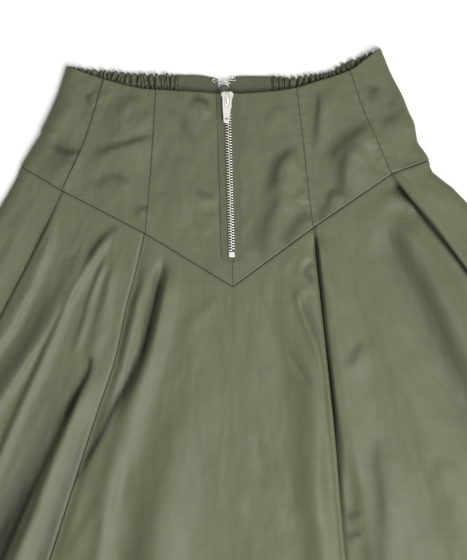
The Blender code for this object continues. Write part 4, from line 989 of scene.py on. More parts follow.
def build_side_front(panel, left_pleat, left_panel, right_pleat, right_panel):
    """A side-front panel, whose margins run on beneath the pleats at both its sides."""
    patch = skirt_patch[panel]
    places = []
    left_patch, right_patch = skirt_patch[left_panel], skirt_patch[right_panel]
    left_margin = (pleat_value(left_pleat, DOWN)[0] + 1) * MARGIN_PART
    right_margin = (pleat_value(right_pleat, DOWN)[0] + 1) * MARGIN_PART[:, ::-1]
    places.append(left_patch(1 - left_margin / patch_width(left_patch, DOWN), DOWN))
    places.append(patch(np.linspace(0, 1, SIDE_FRONT_COLUMNS)[None, :], DOWN))
    places.append(right_patch(right_margin / patch_width(right_patch, DOWN), DOWN))
    place = np.concatenate(places, axis=1)
    x, y = place[..., 0], place[..., 1]
    grid = column(place, under_height(panel, x, y) - seam_roll(x, y))
    node_name = panel.replace("front", "front_under") + "_panel"
    return skirt_piece(panel, [grid], node_name)


side_front = {
    panel: build_side_front(panel, *beside)
    for panel, beside in (
        ("front_left", ("left_outer", "side_left", "left_inner", "front_centre")),
        ("front_right", ("right_inner", "front_centre", "right_outer", "side_right")))
}


# %% Centre panel
def build_centre_panel():
    """The centre front panel, folded under at both edges."""
    patch = skirt_patch["front_centre"]
    width = patch_width(patch, DOWN)
    near = near_edge(width)
    shares = np.linspace(0, 1, CENTRE_COLUMNS)[None, 1:-1]
    middle = near[:, -1:] + (width - 2 * near[:, -1:]) * shares
    distances = np.concatenate([near, middle, width - near[:, ::-1]], axis=1)

    def height(x, y, inward, width):
        edges = [("left_inner", "front_left", inward), ("right_inner", "front_right", width - inward)]
        return upper_height("front_centre", x, y, DOWN, edges)

    columns = pleat_columns(patch, "left_inner", "front_left", False)
    columns += open_columns(patch, distances, height)
    columns += pleat_columns(patch, "right_inner", "front_right", True)[::-1]
    return skirt_piece("front_centre", columns, "front_centre_panel")


build_centre_panel()


# %% Side panels
def rounded_down(z, from_side, reach):
    """Rounds a height down to the level of the side seam, within reach of it."""
    share = np.clip(from_side / reach, 0, 1)
    return SIDE_SEAM_MID + (z - SIDE_SEAM_MID) * np.sqrt(1 - (1 - share) ** 2)


def build_side_panel(panel, pleat, under_panel, seam_on_right):
    """A side panel: rounded down at the side seam, folded under at the pleat."""
    patch = skirt_patch[panel]
    width = patch_width(patch, DOWN)
    reach = np.minimum(SIDE_FOLD_REACH, 0.55 * width)
    near = near_edge(width)
    rounded = reach * (1 - np.cos(SIDE_ANGLES))[None, :]
    middle = reach + (width - near[:, -1:] - reach) * np.linspace(0, 1, SIDE_COLUMNS)[None, :-1]
    from_seam = np.concatenate([rounded, middle, width - near[:, ::-1]], axis=1)
    distances = width - from_seam[:, ::-1] if seam_on_right else from_seam

    def height(x, y, inward, width):
        from_side = width - inward if seam_on_right else inward
        top = upper_height(panel, x, y, DOWN, [(pleat, under_panel, width - from_side)])
        return rounded_down(top, from_side, reach)

    columns = open_columns(patch, distances, height)
    turned = pleat_columns(patch, pleat, under_panel, not seam_on_right)
    columns = turned + columns if seam_on_right else columns + turned[::-1]
    return skirt_piece(panel, columns, panel.replace("side", "front_side") + "_panel")


build_side_panel("side_left", "left_outer", "front_left", False)
build_side_panel("side_right", "right_outer", "front_right", True)

# %% [markdown]
# ## The yoke
#
# Six shaped panels of satin over an interlining make the corset yoke. Where two panels meet, the
# turnings inside push the cloth up and the stitching pulls it down, so every seam is a fine
# groove between two soft rolls. The seams pucker a little, which shows in satin at once.

# %% Seam grooves and puckers
SEAM_DEPTH = 0.6
SEAM_WIDTH = 0.45
PUCKER_STEP = 8.0
PUCKER_HEIGHT = 0.16
PUCKER_REACH = 5
# Darkness of the painted shade right on a seam, where its groove would fall into shade
SEAM_SHADE_DARKEST = 0.92
SEAM_PLACES = np.array([0, 0.15, 0.3, 0.5, 0.8, 1.3, 2.1, 3.2, 4.6])
# Each of the yoke's rolls: (height, its middle above the seam, width)
POINT_SEAM_ROLLS = [(-0.7, 0.0, 0.6), (0.15, 1.6, 1.2)]
WAIST_ROLL = (0.5, 0.7)
YOKE_RIPPLES = (1.4, 1.1, 26, 32)   # seed, height, spacing across and down
# Width of the painted shade beside each seam, in mm
SHADE_WIDTHS = {"left_outer": 1.0, "left_inner": 0.7, "centre": 0.55, "right_inner": 0.55,
                "right_outer": 0.6}
YOKE_PANELS = [
    ("yoke_side_left", "side", "left_outer"),
    ("yoke_princess_left", "left_outer", "left_inner"),
    ("yoke_centre_left", "left_inner", "centre"),
    ("yoke_centre_right", "centre", "right_inner"),
    ("yoke_princess_right", "right_inner", "right_outer"),
    ("yoke_side_right", "right_outer", "side"),
]


def seam_relief(distance, along, seed):
    """Groove and puckers at a distance from a seam."""
    groove = -SEAM_DEPTH * bell(distance, SEAM_WIDTH)
    wave = np.sin(2 * math.pi * along / PUCKER_STEP + 2.2 * np.sin(along / 13 + seed))
    return groove + PUCKER_HEIGHT * wave * bell(distance, PUCKER_REACH) * ease(0.3, 1.5, distance)


def yoke_height(x, y):
    """Middle of the yoke's cloth, with its folds, seams and ripples."""
    z = YOKE_MID + folds("yoke", x, y) + ripples(x, y, *YOKE_RIPPLES)
    for i, name in enumerate(YOKE_LINES):
        z = z + seam_relief(np.abs(x - yoke_line[name](y)), y, i)
    below = np.maximum(y - yoke_seam(x), 0)
    for height, above, width in POINT_SEAM_ROLLS:
        z = z + height * bell(below - above, width)
    depth, width = WAIST_ROLL
    return z - depth * bell(np.maximum(front_waist(x) - y, 0), width)


def painted_shade(x, y):
    """Painted shade of the yoke beside its seams and deep in its folds, 0 to 1."""
    nearest = np.minimum.reduce([np.abs(x - yoke_line[name](y)) / width
                                 for name, width in SHADE_WIDTHS.items()])
    nearest = np.minimum(nearest, (y - yoke_seam(x)) / SHADE_WIDTHS["centre"])
    return np.clip(SEAM_SHADE_DARKEST * bell(nearest, 1) + deep_shade("yoke", x, y), 0, DARKEST)


# %% Yoke panels
YOKE_STEP = 1.6
YOKE_LENGTH, YOKE_WIDTH, YOKE_SIDE_WIDTH = 120, 60, 45   # rough sizes, to space the points by


def spaced(length, step):
    """Places from 0 to 1 over a length, with close ones at both ends."""
    close = SEAM_PLACES / length
    count = max(2, int(length / step))
    middle = np.linspace(close[-1], 1 - close[-1], count)[1:-1]
    return np.concatenate([close, middle, 1 - close[::-1]])


def build_yoke_panel(name, left_line, right_line):
    """One panel of the corset yoke, between two seams or a seam and the side."""
    left = left_side if left_line == "side" else yoke_line[left_line]
    right = right_side if right_line == "side" else yoke_line[right_line]
    gap = SEAM_GAP / 2
    insets = (0 if left_line == "side" else gap, 0 if right_line == "side" else gap, 0, gap)
    patch = panel_patch(left, right, front_waist, yoke_seam, (0, -100), insets)
    down = spaced(YOKE_LENGTH, YOKE_STEP)[:, None]
    across = spaced(YOKE_WIDTH, YOKE_STEP)[None, :]
    at_side = "side" in (left_line, right_line)
    if at_side:
        share = np.sort(np.concatenate([0.5 * (1 - np.cos(SIDE_ANGLES)), np.linspace(0.42, 0.87, 14),
                                        1 - SEAM_PLACES / YOKE_SIDE_WIDTH]))
        across = (share if left_line == "side" else 1 - share[::-1])[None, :]
    place = patch(across, down)
    x, y = place[..., 0], place[..., 1]
    z = yoke_height(x, y)
    if at_side:
        width = patch_width(patch, down)
        from_side = (across if left_line == "side" else 1 - across) * width
        z = rounded_down(z, from_side, np.minimum(SIDE_FOLD_REACH, 0.5 * width))
    return sheet(name + "_satin", name, column(place, z), YOKE_CLOTH, olive_satin,
                 painted_shade(x, y))


for row in YOKE_PANELS:
    build_yoke_panel(*row)

# %% [markdown]
# ## The back
#
# The back lies flat on the table, and only its hem, its side edges and its waistband show. Its
# two panels meet at the centre-back seam.

# %% Back panels
BACK_CENTRE_X = -3.0
BAND_DEPTH = 30.0
BACK_MID = 0.45
BACK_CLOTH = 0.6
BACK_COLUMNS, BACK_ROWS = 60, 70
ROW_GROWTH = 1.3   # above 1, rows lie closer at the waist than at the hem
EDGE_RISE, EDGE_REACH = 0.5, 6


def back_centre(y):
    """The straight seam down the centre back."""
    return BACK_CENTRE_X + 0 * y


def build_back_panel(name, node_name, left, right, insets):
    """A back panel, flat on the table, its side edge rising to meet the front."""
    patch = panel_patch(left, right, lambda x: back_waist(x) - BAND_DEPTH, hem, (0, -700), insets)
    place = patch(np.linspace(0, 1, BACK_COLUMNS)[None, :],
                  np.linspace(0, 1, BACK_ROWS)[:, None] ** ROW_GROWTH)
    side = place[:, :1] if left is left_side else place[:, -1:]
    from_side = np.linalg.norm(place - side, axis=-1)
    z = BACK_MID + EDGE_RISE * (1 - ease(0, EDGE_REACH, from_side))
    return sheet(name, node_name, column(place, z), BACK_CLOTH, satin_inside)


BELOW_BAND = 2 * SEAM_GAP
build_back_panel("back_left_satin", "back_panel_left", left_side, back_centre,
                 (0, SEAM_GAP / 2, BELOW_BAND, 0))
build_back_panel("back_right_satin", "back_panel_right", back_centre, right_side,
                 (SEAM_GAP / 2, 0, BELOW_BAND, 0))

# %% [markdown]
# ## The elasticated waistband
#
# The back waistband is a casing drawn up by a flat elastic. The cloth stands in narrow ruffles
# that lean a little and differ in height, and a row of stitches through the elastic pinches them.

# %% Ruffled stretches
# Each stretch: (name, node, outer_x, inner_x)
ELASTIC = [
    ("elastic_left_satin", "back_elastic_left", -151, -47.3),
    ("elastic_right_satin", "back_elastic_right", 146, 43.3),
]
RUFFLES = 25
RUFFLE_POINTS = 16   # columns in each ruffle
BAND_OUTER_MID, BAND_RISE = 1.1, 1.8   # level at the side seam, and its rise further in
BAND_LOWEST = 0.6
BAND_CLOTH = 0.8
BAND_RIPPLES = (9.2, 1.7, 4.0, 7)      # seed, height, spacing across and down
RUFFLE_HEIGHT = 2.3
RUFFLE_SPACING, RUFFLE_SIZE = (0.45, 1.75), (0.35, 1.3)   # least and most, as shares
RUFFLE_SHARPNESS = 1.8
SCALLOP = 1.3                          # how far the ruffles move the upper edge up and down
PINCH_BELOW, PINCH_WIDTH, PINCH_SHARE = 10.0, 1.5, 0.8
RUFFLE_SEED = 6
# How the ruffles lean to and fro: (share of the stretch, turns along it, turns down it)
RUFFLE_LEANS = [(0.012, 11, 5), (0.006, 37, -9)]
BAND_ROLL_DEPTH, BAND_ROLL_SHARE = 1.2, 0.03
BAND_ROWS = np.concatenate([[0, 0.012, 0.03, 0.06], np.linspace(0.1, 1, 26)])[:, None]


def ruffle_waves(t, v, chance):
    """The ruffles' height from -1 to 1 times their size, t along the stretch and v down it."""
    ends = np.concatenate([[0], np.cumsum(chance.uniform(*RUFFLE_SPACING, RUFFLES))])
    lean = sum(share * np.sin(along * t + down * v) for share, along, down in RUFFLE_LEANS)
    numbers = np.arange(RUFFLES + 1)
    count = np.interp(t + lean * ease(0, 0.05, t) * ease(0, 0.05, 1 - t), ends / ends[-1], numbers)
    size = np.interp(count, numbers, chance.uniform(*RUFFLE_SIZE, RUFFLES + 1))
    crest = 1 - 2 * (0.5 - 0.5 * np.cos(2 * math.pi * count)) ** RUFFLE_SHARPNESS
    return crest * size * (0.85 + 0.25 * np.sin(57 * t + 7 * v))


def build_elastic(name, node_name, outer_x, inner_x):
    """A gathered stretch of the back waistband."""
    side = left_side if outer_x < 0 else right_side
    t, v = np.linspace(0, 1, RUFFLES * RUFFLE_POINTS + 1)[None, :], BAND_ROWS
    start = side(back_waist(outer_x) - BAND_DEPTH * v)
    waves = ruffle_waves(t, v, np.random.default_rng(RUFFLE_SEED + (outer_x > 0)))
    x = start + (inner_x - start) * t + 0 * v
    y = back_waist(x) - BAND_DEPTH * v
    y = y + SCALLOP * waves * (1 - ease(0, 0.5, v)) * ease(0, 0.08, t)
    pinch = 1 - PINCH_SHARE * bell(v * BAND_DEPTH - PINCH_BELOW, PINCH_WIDTH)
    taper = ease(0, 0.13, t) * (1 - 0.45 * ease(0.8, 1, v))
    roll = BAND_ROLL_DEPTH * bell(v, BAND_ROLL_SHARE)
    crumple = ripples(x, y, *BAND_RIPPLES)
    lift = BAND_RISE + RUFFLE_HEIGHT * waves * pinch - roll + crumple
    z = soft_max(BAND_OUTER_MID + lift * taper, BAND_LOWEST, 0.5)
    grid = np.stack([x, y, z], -1)
    if outer_x > 0:
        grid = grid[:, ::-1]
    return sheet(name, node_name, grid, BAND_CLOTH, satin_inside)


for row in ELASTIC:
    build_elastic(*row)

# %% Plain ends beside the closure
# Each end: (name, node, left_x, right_x)
PLAIN_ENDS = [
    ("band_left_satin", "back_band_left", -47.0, -8.6),
    ("band_right_satin", "back_band_right", 2.6, 43.0),
]
PLAIN_MID = 1.9
PLAIN_THICK = 1.8
PLAIN_RIPPLES = (5.1, 0.5, 14, 20)
BAND_MIDDLE = -20    # an end that starts to the left of this is the left one
CREASE_HEIGHT, CREASE_STEP, CREASE_REACH = 0.4, 1.9, 9
PLAIN_ROLL_DEPTH, PLAIN_ROLL_SHARE = 0.5, 0.02
PLAIN_COLUMNS = 40
PLAIN_ROWS = np.concatenate([[0, 0.01, 0.025, 0.05], np.linspace(0.09, 1, 26)])[:, None]


def build_plain_end(name, node_name, left_x, right_x):
    """A flat end of the waistband, stitched to hold the elastic's end."""
    v = PLAIN_ROWS
    x = np.linspace(left_x, right_x, PLAIN_COLUMNS)[None, :] + 0 * v
    y = back_waist(x) - BAND_DEPTH * v
    from_elastic = np.abs(x - (left_x if left_x < BAND_MIDDLE else right_x))
    creases = (CREASE_HEIGHT * np.sin(from_elastic / CREASE_STEP + 1.2 * v)
               * np.exp(-(from_elastic / CREASE_REACH)))
    roll = PLAIN_ROLL_DEPTH * bell(v, PLAIN_ROLL_SHARE)
    z = PLAIN_MID + creases - roll + ripples(x, y, *PLAIN_RIPPLES)
    return sheet(name, node_name, np.stack([x, y, z], -1), PLAIN_THICK, satin_inside)


for row in PLAIN_ENDS:
    build_plain_end(*row)

# %% [markdown]
# ## Flat hard pieces
#
# The zip's parts are castings and stampings: a flat outline with a rounded rim. A two-dimensional
# curve with some extrusion and a bevel gives just that, and a second outline inside the first
# becomes a hole.

# %% Plates from outlines
def add_line(curve, points, closed=False):
    """Adds a line through points in metres to a curve."""
    line = curve.splines.new("POLY")
    line.points.add(len(points) - 1)
    for spot, point in zip(line.points, points):
        spot.co = (*point, 1)
    line.use_cyclic_u = closed


def plate(name, outlines, bottom, top, rim, material, body="root", place=(0, 0), turn=0.0):
    """A flat piece with holes and a rounded rim, between two heights in mm."""
    curve = bpy.data.curves.new(name, "CURVE")
    curve.dimensions = "2D"
    curve.fill_mode = "BOTH"
    curve.extrude = ((top - bottom) / 2 - rim) * MM
    curve.bevel_depth = rim * MM
    curve.bevel_resolution = 3
    curve.offset = -rim * MM
    for outline in outlines:
        add_line(curve, [(x * MM, y * MM, 0) for x, y in outline], closed=True)
    made = piece(name, curve, material, body)
    made.location = to_model((*place, (bottom + top) / 2))
    made.rotation_euler = (0, 0, turn)
    return made


def rounded(corners, radius, steps=5):
    """Rounds the corners of an outline given in order."""
    p = np.array(corners, float)
    made = []
    for i in range(len(p)):
        before, here, after = p[i - 1], p[i], p[(i + 1) % len(p)]
        back, on = before - here, after - here
        cut = min(radius, np.linalg.norm(back) / 2.1, np.linalg.norm(on) / 2.1)
        a = here + back / np.linalg.norm(back) * cut
        b = here + on / np.linalg.norm(on) * cut
        for t in np.linspace(0, 1, steps):
            made.append(tuple((1 - t) ** 2 * a + 2 * t * (1 - t) * here + t * t * b))
    return made


def mirrored(half):
    """A closed outline from its right half, (half_width, y) from top to bottom.

    A point on the middle line has half_width 0 and is used once."""
    return list(half) + [(-w, y) for w, y in reversed(half) if w > 0]


# %% [markdown]
# ## The exposed front zip
#
# A number five metal zip lies on the face of the yoke. Its tapes are stitched down with two rows
# on each side, and the teeth are closed over their whole length.

# %% Tapes
ZIP_TOP = -1.0
ZIP_END = -162.0
TAPE_HALF_WIDTH = 9.7
CHAIN_HALF_WIDTH = 3.1
ZIP_BASE = 9.2
TAPE_TOP = 10.0
TAPE_CLOTH = 0.7
TAPE_CORNER = 6.5
CORD_HEIGHT, CORD_WIDTH = 0.35, 0.8
TAPE_WAVE, TAPE_WAVE_REACH = 0.1, 3   # the outer edge is a little wavy between its stitches


def build_tape(name, node_name, side):
    """One zip tape, its lower end cut round, with a cord along the teeth."""
    v = np.concatenate([[0, 0.002, 0.005], np.linspace(0.01, 0.955, 90),
                        np.linspace(0.958, 1, 14)])[:, None]
    w = np.concatenate([[0, 0.03, 0.08, 0.14], np.linspace(0.2, 0.93, 16), [0.97, 1.0]])[None, :]
    y = ZIP_TOP + (ZIP_END - ZIP_TOP) * v
    into = np.clip((ZIP_END + TAPE_CORNER - y) / TAPE_CORNER, 0, 1)
    far = TAPE_HALF_WIDTH - TAPE_CORNER * (1 - np.sqrt(np.maximum(1 - into ** 2, 0)))
    near = CHAIN_HALF_WIDTH - 0.6
    x = near + (far - near) * w
    z = (ZIP_BASE + TAPE_TOP) / 2 + CORD_HEIGHT * bell(x - near, CORD_WIDTH)
    z = z + TAPE_WAVE * np.sin(y / 3.1 + 0.8 * np.sin(y / 11)) * bell(far - x, TAPE_WAVE_REACH)
    grid = np.stack([x + 0 * y, y + 0 * x, z], -1)
    if side < 0:
        grid = grid[:, ::-1] * [-1, 1, 1]
    return sheet(name, node_name, grid, TAPE_CLOTH, olive_tape)


build_tape("zip_tape_left_woven", "zip_tape_left", -1)
build_tape("zip_tape_right_woven", "zip_tape_right", 1)

# %% [markdown]
# The teeth are one mesh: a single tooth's points, repeated in an array of places. Each clamps on
# its tape's cord and reaches just past the middle, and left and right teeth take turns.

# %% Teeth
TOOTH_PITCH = 2.54
TEETH_FROM = -16.4
STOP_TOP = -151.0
# Half outline of a tooth from its foot to its nose: (distance_from_middle, half_width)
TOOTH_OUTLINE = [(3.15, 0.4), (2.7, 0.56), (1.2, 0.56), (0.5, 0.45), (-0.3, 0.55), (-0.8, 0.3)]
TOOTH_LEVELS = [(0.2, 1.0), (1.9, 1.0), (2.3, 0.92), (2.5, 0.72)]   # (height, share of the outline)
SHARP_ANGLE = math.radians(50)


def joined_mesh(name, points, faces, places, material):
    """Repeats a small shape at many places as one mesh. A place is (offset, x_scale, turn)."""
    all_points, all_faces = [], []
    base = np.array(points, float)
    for offset, x_scale, turn in places:
        turned = base * [x_scale, 1, 1]
        c, s = math.cos(turn), math.sin(turn)
        turned = np.stack([turned[:, 0] * c - turned[:, 1] * s, turned[:, 0] * s + turned[:, 1] * c,
                           turned[:, 2]], -1)
        first = len(all_points)
        all_points.extend((turned + offset).tolist())
        flip = x_scale < 0
        all_faces.extend([[first + i for i in (reversed(f) if flip else f)] for f in faces])
    mesh = bpy.data.meshes.new(name)
    mesh.from_pydata(to_model(all_points).tolist(), [], all_faces)
    mesh.shade_smooth()
    mesh.set_sharp_from_angle(angle=SHARP_ANGLE)
    return piece(name, mesh, material)


def ring_faces(n, rings):
    """Faces of a closed shape made of rings of n points: its sides and its two ends."""
    faces = []
    for k in range(rings - 1):
        for i in range(n):
            j = (i + 1) % n
            faces.append([k * n + i, k * n + j, (k + 1) * n + j, (k + 1) * n + i])
    faces.append(list(range(n))[::-1])
    faces.append([(rings - 1) * n + i for i in range(n)])
    return faces


def stacked_outline(outline, levels):
    """Points and faces of a shape with the same outline at several levels, (z, share)."""
    outline = np.array(outline, float)
    centre = outline.mean(axis=0)
    points = []
    for z, share in levels:
        points.extend([(*(centre + (p - centre) * share), z) for p in outline])
    return points, ring_faces(len(outline), len(levels))


tooth_outline = [(x, -w) for x, w in reversed(TOOTH_OUTLINE)] + TOOTH_OUTLINE
tooth = stacked_outline(tooth_outline, TOOTH_LEVELS)
tooth_places = []
tooth_y, tooth_side = TEETH_FROM, 1
while tooth_y > STOP_TOP + 0.5:
    tooth_places.append(((0, tooth_y, ZIP_BASE), tooth_side, 0.0))
    tooth_y -= TOOTH_PITCH / 2
    tooth_side = -tooth_side
teeth = joined_mesh("zip_teeth", *tooth, tooth_places, polished_nickel)
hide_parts("zip_chain")
print("teeth:", len(tooth_places))

# %% Bottom stop
STOP_END = -156.5
stop = plate("zip_bottom_stop", [rounded([(-3.0, STOP_END), (3.0, STOP_END), (3.0, STOP_TOP),
                                          (-3.0, STOP_TOP)], 0.7)],
             ZIP_BASE + 0.1, ZIP_BASE + 2.6, 0.5, polished_nickel)
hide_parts("zip_stop")

# %% [markdown]
# The slider's plate is wide at the top, where the two rows of teeth come apart, and narrows
# downwards. A bridge stands on it and holds the pull tab's cross bar.

# %% Slider and its bridge
SLIDER_TOP = 0.8
SLIDER_BASE = 10.5
PLATE_TOP = 12.5
# Half outline of the plate, from its notched top down: (half_width, below_top)
SLIDER_OUTLINE = [(0.0, 0.7), (1.6, 0.1), (3.2, 0.0), (4.9, 0.7), (6.1, 2.0), (6.2, 3.4), (5.5, 5.2),
                  (4.8, 7.4), (4.4, 10.0), (4.3, 14.2), (3.7, 16.1), (2.6, 16.5)]
BRIDGE_HALF_WIDTH = 1.25
BRIDGE_ROUNDING = 0.35
# Side view of the bridge: (below_pivot, above_plate)
BRIDGE_OUTER = [(-2.9, -0.3), (-2.8, 1.9), (-1.6, 3.1), (5.2, 3.1), (7.9, 2.0), (8.7, -0.3)]
BRIDGE_INNER = [(7.0, -0.3), (6.4, 1.2), (4.8, 2.0), (-1.1, 2.0), (-1.3, -0.3)]

slider_outline = mirrored([(w, SLIDER_TOP - d) for w, d in SLIDER_OUTLINE])
slider_plate = plate("zip_slider_plate", [rounded(slider_outline, 0.8, 3)], SLIDER_BASE, PLATE_TOP, 0.6,
                     polished_nickel)
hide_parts("zip_slider")


def build_bridge():
    """The bridge: its side view extruded across and rounded."""
    side_view = BRIDGE_OUTER + BRIDGE_INNER
    points = []
    for x in (BRIDGE_HALF_WIDTH, -BRIDGE_HALF_WIDTH):
        points += [(x, -PIVOT_BELOW_WAIST - d, PLATE_TOP + z) for d, z in side_view]
    mesh = bpy.data.meshes.new("zip_slider_bridge")
    mesh.from_pydata(to_model(points).tolist(), [], ring_faces(len(side_view), 2))
    made = piece("zip_slider_bridge", mesh, polished_nickel)
    soften = made.modifiers.new("rounded", "BEVEL")
    soften.width = BRIDGE_ROUNDING * MM
    soften.segments = 3
    mesh.shade_smooth()


build_bridge()

# %% [markdown]
# The pull tab has a long slot at its top, through which the bridge passes, and a small window
# near its end. It leans to the left, as a loose tab does, and rides on its own body.

# %% Pull tab
TAB_LENGTH = 27.0
TAB_THICK = 1.2
TAB_LEAN = math.radians(3.5)
# Half outline of the tab: (half_width, below_pivot)
TAB_OUTLINE = [(2.6, -0.8), (3.9, -0.3), (4.4, 1.2), (4.5, 3.0), (4.3, 9.0), (3.9, 14.0), (3.1, 20.0),
               (2.85, 25.0), (2.4, 26.4), (1.2, TAB_LENGTH)]
tab_outline = rounded(mirrored([(w, -d) for w, d in TAB_OUTLINE]), 1.0, 3)
tab_slot = rounded([(-2.2, -0.7), (2.2, -0.7), (2.2, -11.9), (-2.2, -11.9)], 1.4)
tab_window = rounded([(-1.4, -21.9), (1.4, -21.9), (1.4, -23.5), (-1.4, -23.5)], 0.5)
pull_tab = plate("zip_tab", [tab_outline, tab_slot, tab_window], PIVOT_Z - TAB_THICK / 2,
                 PIVOT_Z + TAB_THICK / 2, 0.28, polished_nickel, "pull_tab",
                 (0, -PIVOT_BELOW_WAIST), -TAB_LEAN)
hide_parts("zip_pull_tab")

# %% [markdown]
# ## Stitches
#
# A stitch is a short grain of thread with pointed ends that sink into the cloth. One grain is made
# once and laid along a route at a fixed pitch, and it lies on the height that the route gives.

# %% Rows of stitches
STITCH_LEVELS = [(-0.5, 0.25), (-0.32, 0.8), (0.0, 1.0), (0.32, 0.8), (0.5, 0.25)]
STITCH_SIDES = 6
LOOK_AHEAD = 0.5   # how far along the route a stitch points


def grain_of_thread(length, radius):
    """Points and faces of one stitch along x."""
    points = []
    for along, share in STITCH_LEVELS:
        for k in range(STITCH_SIDES):
            a = 2 * math.pi * k / STITCH_SIDES
            points.append((along * length, radius * share * math.cos(a),
                           radius * share * math.sin(a) - 2 * radius * along * along))
    return points, ring_faces(STITCH_SIDES, len(STITCH_LEVELS))


def stitch_row(name, routes, height, pitch, length, radius):
    """Lays stitches along routes of (x, y) at the height that a function gives."""
    places = []
    for route in routes:
        route = np.array(route, float)
        steps = np.hypot(*np.diff(route, axis=0).T)
        travelled = np.concatenate([[0], np.cumsum(steps)])
        spots = np.arange(pitch / 2, travelled[-1], pitch)
        x, y = np.interp(spots, travelled, route[:, 0]), np.interp(spots, travelled, route[:, 1])
        ahead_x = np.interp(spots + LOOK_AHEAD, travelled, route[:, 0])
        ahead_y = np.interp(spots + LOOK_AHEAD, travelled, route[:, 1])
        z = height(x, y)
        for i in range(len(spots)):
            turn = math.atan2(ahead_y[i] - y[i], ahead_x[i] - x[i])
            places.append(((x[i], y[i], z[i] + radius * 0.6), 1, turn))
    made = joined_mesh(name, *grain_of_thread(length, radius), places, olive_thread)
    print(name, "stitches:", len(places))


# %% Two rows down each tape and round its end
ROW_INSETS = (1.3, 3.6)
ROW_TOP = ZIP_TOP - 1.5
CORNER_POINTS = 5
tape_routes = []
for inset in ROW_INSETS:
    half_width = TAPE_HALF_WIDTH - inset
    low = ZIP_END + inset
    ends = [(-half_width, ROW_TOP), (half_width, ROW_TOP)]
    corners = [ends[0], (-half_width, low), (half_width, low), ends[1]]
    round_the_end = rounded(corners, 6.0 - inset * 0.6, CORNER_POINTS)[CORNER_POINTS:-CORNER_POINTS]
    tape_routes.append([ends[0]] + round_the_end + [ends[1]])


def tape_top(x, y):
    """Height of the tapes' upper face."""
    return np.full(len(x), (ZIP_BASE + TAPE_TOP) / 2 + TAPE_CLOTH / 2)


stitch_row("zip_stitches", tape_routes, tape_top, pitch=2.5, length=1.9, radius=0.17)

# %% Top edge of the waistband's plain ends, and the tack above the yoke's point
BAND_STITCHES_BELOW = 1.8
TACK = [(-4.6, -174.4), (4.2, -174.8)]


def plain_end_top(x, y):
    """Height of the plain ends' upper face."""
    return PLAIN_MID + PLAIN_THICK / 2 + ripples(x, y, *PLAIN_RIPPLES)


def yoke_top(x, y):
    """Height of the yoke's upper face."""
    return yoke_height(x, y) + YOKE_CLOTH / 2


band_routes = []
for _, _, left_x, right_x in PLAIN_ENDS:
    spots = np.linspace(left_x + 3, right_x - 3, 14)
    band_routes.append(np.stack([spots, back_waist(spots) - BAND_STITCHES_BELOW], -1))
stitch_row("band_stitches", band_routes, plain_end_top, pitch=2.3, length=1.8, radius=0.16)
stitch_row("point_tack", [TACK], yoke_top, pitch=1.3, length=1.5, radius=0.3)

# %% [markdown]
# ## The closure at the centre back
#
# A concealed zip ends below a hook and eye. From above only its slider's rounded top, a little
# tape and the two bent wires show between the ends of the waistband.

# %% Tape, slider, hook and eye
BACK_TAPE = [(-8.0, 5), (2.0, 5), (2.0, -19), (9, -21), (9, -176), (-15, -176), (-15, -21),
             (-8.0, -19)]
back_tape = plate("back_tape_woven", [rounded(BACK_TAPE, 0.8)], 1.7, 2.6, 0.3, olive_tape)
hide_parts("back_zip_tape")
BACK_SLIDER_RADIUS, BACK_SLIDER_Y = 4.6, 3.6
slider_top = [(BACK_SLIDER_RADIUS * math.cos(a), BACK_SLIDER_Y + BACK_SLIDER_RADIUS * math.sin(a))
              for a in np.radians(np.linspace(0, 180, 13))]
slider_shape = slider_top + [(-4.0, -3), (-3.0, -9), (3.0, -9), (4.0, -3)]
back_slider = plate("back_slider_lacquered", [[(x + BACK_CENTRE_X, y) for x, y in slider_shape]], 2.9,
                    6.1, 1.4, olive_lacquer)
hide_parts("back_zip_slider")


def bent_wire(name, node_name, points):
    """A smooth bent wire through the points, with closed ends."""
    curve = bpy.data.curves.new(name, "CURVE")
    curve.dimensions = "3D"
    curve.bevel_depth = WIRE_RADIUS * MM
    curve.bevel_resolution = 3
    curve.use_fill_caps = True
    add_line(curve, to_model(smooth_route(points, 5)))
    made = piece(name, curve, polished_nickel)
    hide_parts(node_name)


WIRE_LEVEL = 3.8
WIRE_RADIUS = 0.5
LOOP_RADIUS = 1.5


def wire_loop(x, y, start, end):
    """Points round a sewing loop, the angles in degrees."""
    return [(x + LOOP_RADIUS * math.cos(a), y + LOOP_RADIUS * math.sin(a), WIRE_LEVEL)
            for a in np.radians(np.linspace(start, end, 7))]


hook_route = wire_loop(-12.2, 12.4, 300, 40)
hook_route += [(-9.5, 11.6, WIRE_LEVEL), (-5.0, 11.2, WIRE_LEVEL + 1.9), (-0.6, 11.0, WIRE_LEVEL + 1.9),
               (0.3, 11.0, WIRE_LEVEL + 1.3), (-0.4, 11.0, WIRE_LEVEL + 0.6)]
bent_wire("hook_wire", "hook", hook_route)
eye_route = wire_loop(6.2, 13.2, 240, -60)
eye_route += [(3.6, 12.2, WIRE_LEVEL), (-1.9, 12.6, WIRE_LEVEL), (-2.6, 11.2, WIRE_LEVEL),
              (-1.9, 9.6, WIRE_LEVEL), (3.6, 9.4, WIRE_LEVEL)]
bent_wire("eye_wire", "eye", eye_route)

# %% [markdown]
# ## Table and light
#
# The table is white paper that the light washes out. A wide soft light stands high beyond the hem
# and to the right, so slopes that face the hem or the right are bright, and slopes that face the
# waist or the left fall into shade. That is what draws the folds. The world adds an even fill.

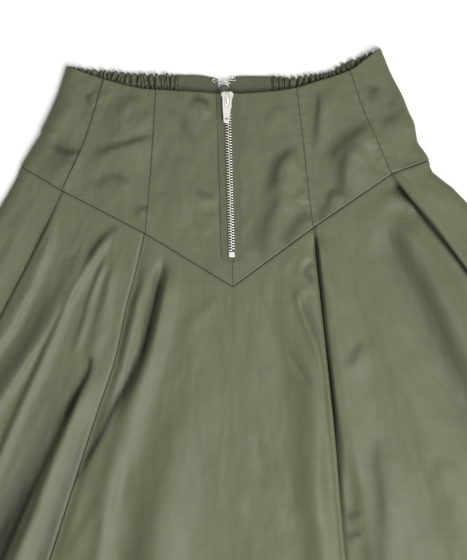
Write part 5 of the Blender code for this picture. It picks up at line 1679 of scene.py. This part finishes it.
# %% Table
def white_paper(name):
    """Matt white paper with a faint tooth."""
    made, tree = new_material(name)
    place = node(tree, "ShaderNodeTexCoord").outputs["Object"]
    tooth = node(tree, "ShaderNodeTexNoise", Vector=place, Scale=400.0, Detail=3.0)
    colour = node(tree, "ShaderNodeMix", COLOURS, _0=tooth.outputs[0], _6=linear("#f6f6f6"),
                  _7=linear("#ffffff")).outputs[2]
    shader = node(tree, "ShaderNodeBsdfPrincipled", Base_Color=colour, Roughness=0.9,
                  Specular_IOR_Level=0.1)
    node(tree, "ShaderNodeOutputMaterial", _0=shader.outputs[0])
    return made


TABLE_HALF, TABLE_LEVEL = 4000.0, -0.2
table_mesh = bpy.data.meshes.new("table")
table_corners = [(x * TABLE_HALF, y * TABLE_HALF, TABLE_LEVEL)
                 for x, y in ((-1, -1), (1, -1), (1, 1), (-1, 1))]
table_mesh.from_pydata(to_model(table_corners).tolist(), [], [[0, 1, 2, 3]])
table = bpy.data.objects.new("table", table_mesh)
table_mesh.materials.append(white_paper("white_paper"))
bpy.context.scene.collection.objects.link(table)


# %% Lights
def soft_light(name, place, size, watts, colour):
    """A rectangular soft light that faces the middle of the skirt."""
    data = bpy.data.lights.new(name, "AREA")
    data.shape = "RECTANGLE"
    data.size, data.size_y = size[0] * MM, size[1] * MM
    data.energy = watts
    data.color = linear(colour)[:3]
    made = bpy.data.objects.new(name, data)
    made.location = to_model(place)
    way = Vector(to_model(SKIRT_MIDDLE) - to_model(place))
    made.rotation_euler = way.to_track_quat("-Z", "Y").to_euler()
    bpy.context.scene.collection.objects.link(made)


SKIRT_MIDDLE = (0, -230, 0)
WORLD_STRENGTH = 0.36
# Each light: (name, place, size, watts, colour)
LIGHTS = [
    ("key", (950, -1250, 1650), (1800, 1400), 60, "#fffdf8"),
    ("overhead", (-300, 300, 2300), (1600, 1600), 8, "#ffffff"),
]
for row in LIGHTS:
    soft_light(*row)
world = bpy.data.worlds.new("studio")
world.use_nodes = True
background = world.node_tree.nodes["Background"]
background.inputs[0].default_value = linear("#f4f6f8")
background.inputs[1].default_value = WORLD_STRENGTH
bpy.context.scene.world = world
bpy.context.scene.view_settings.view_transform = "Standard"
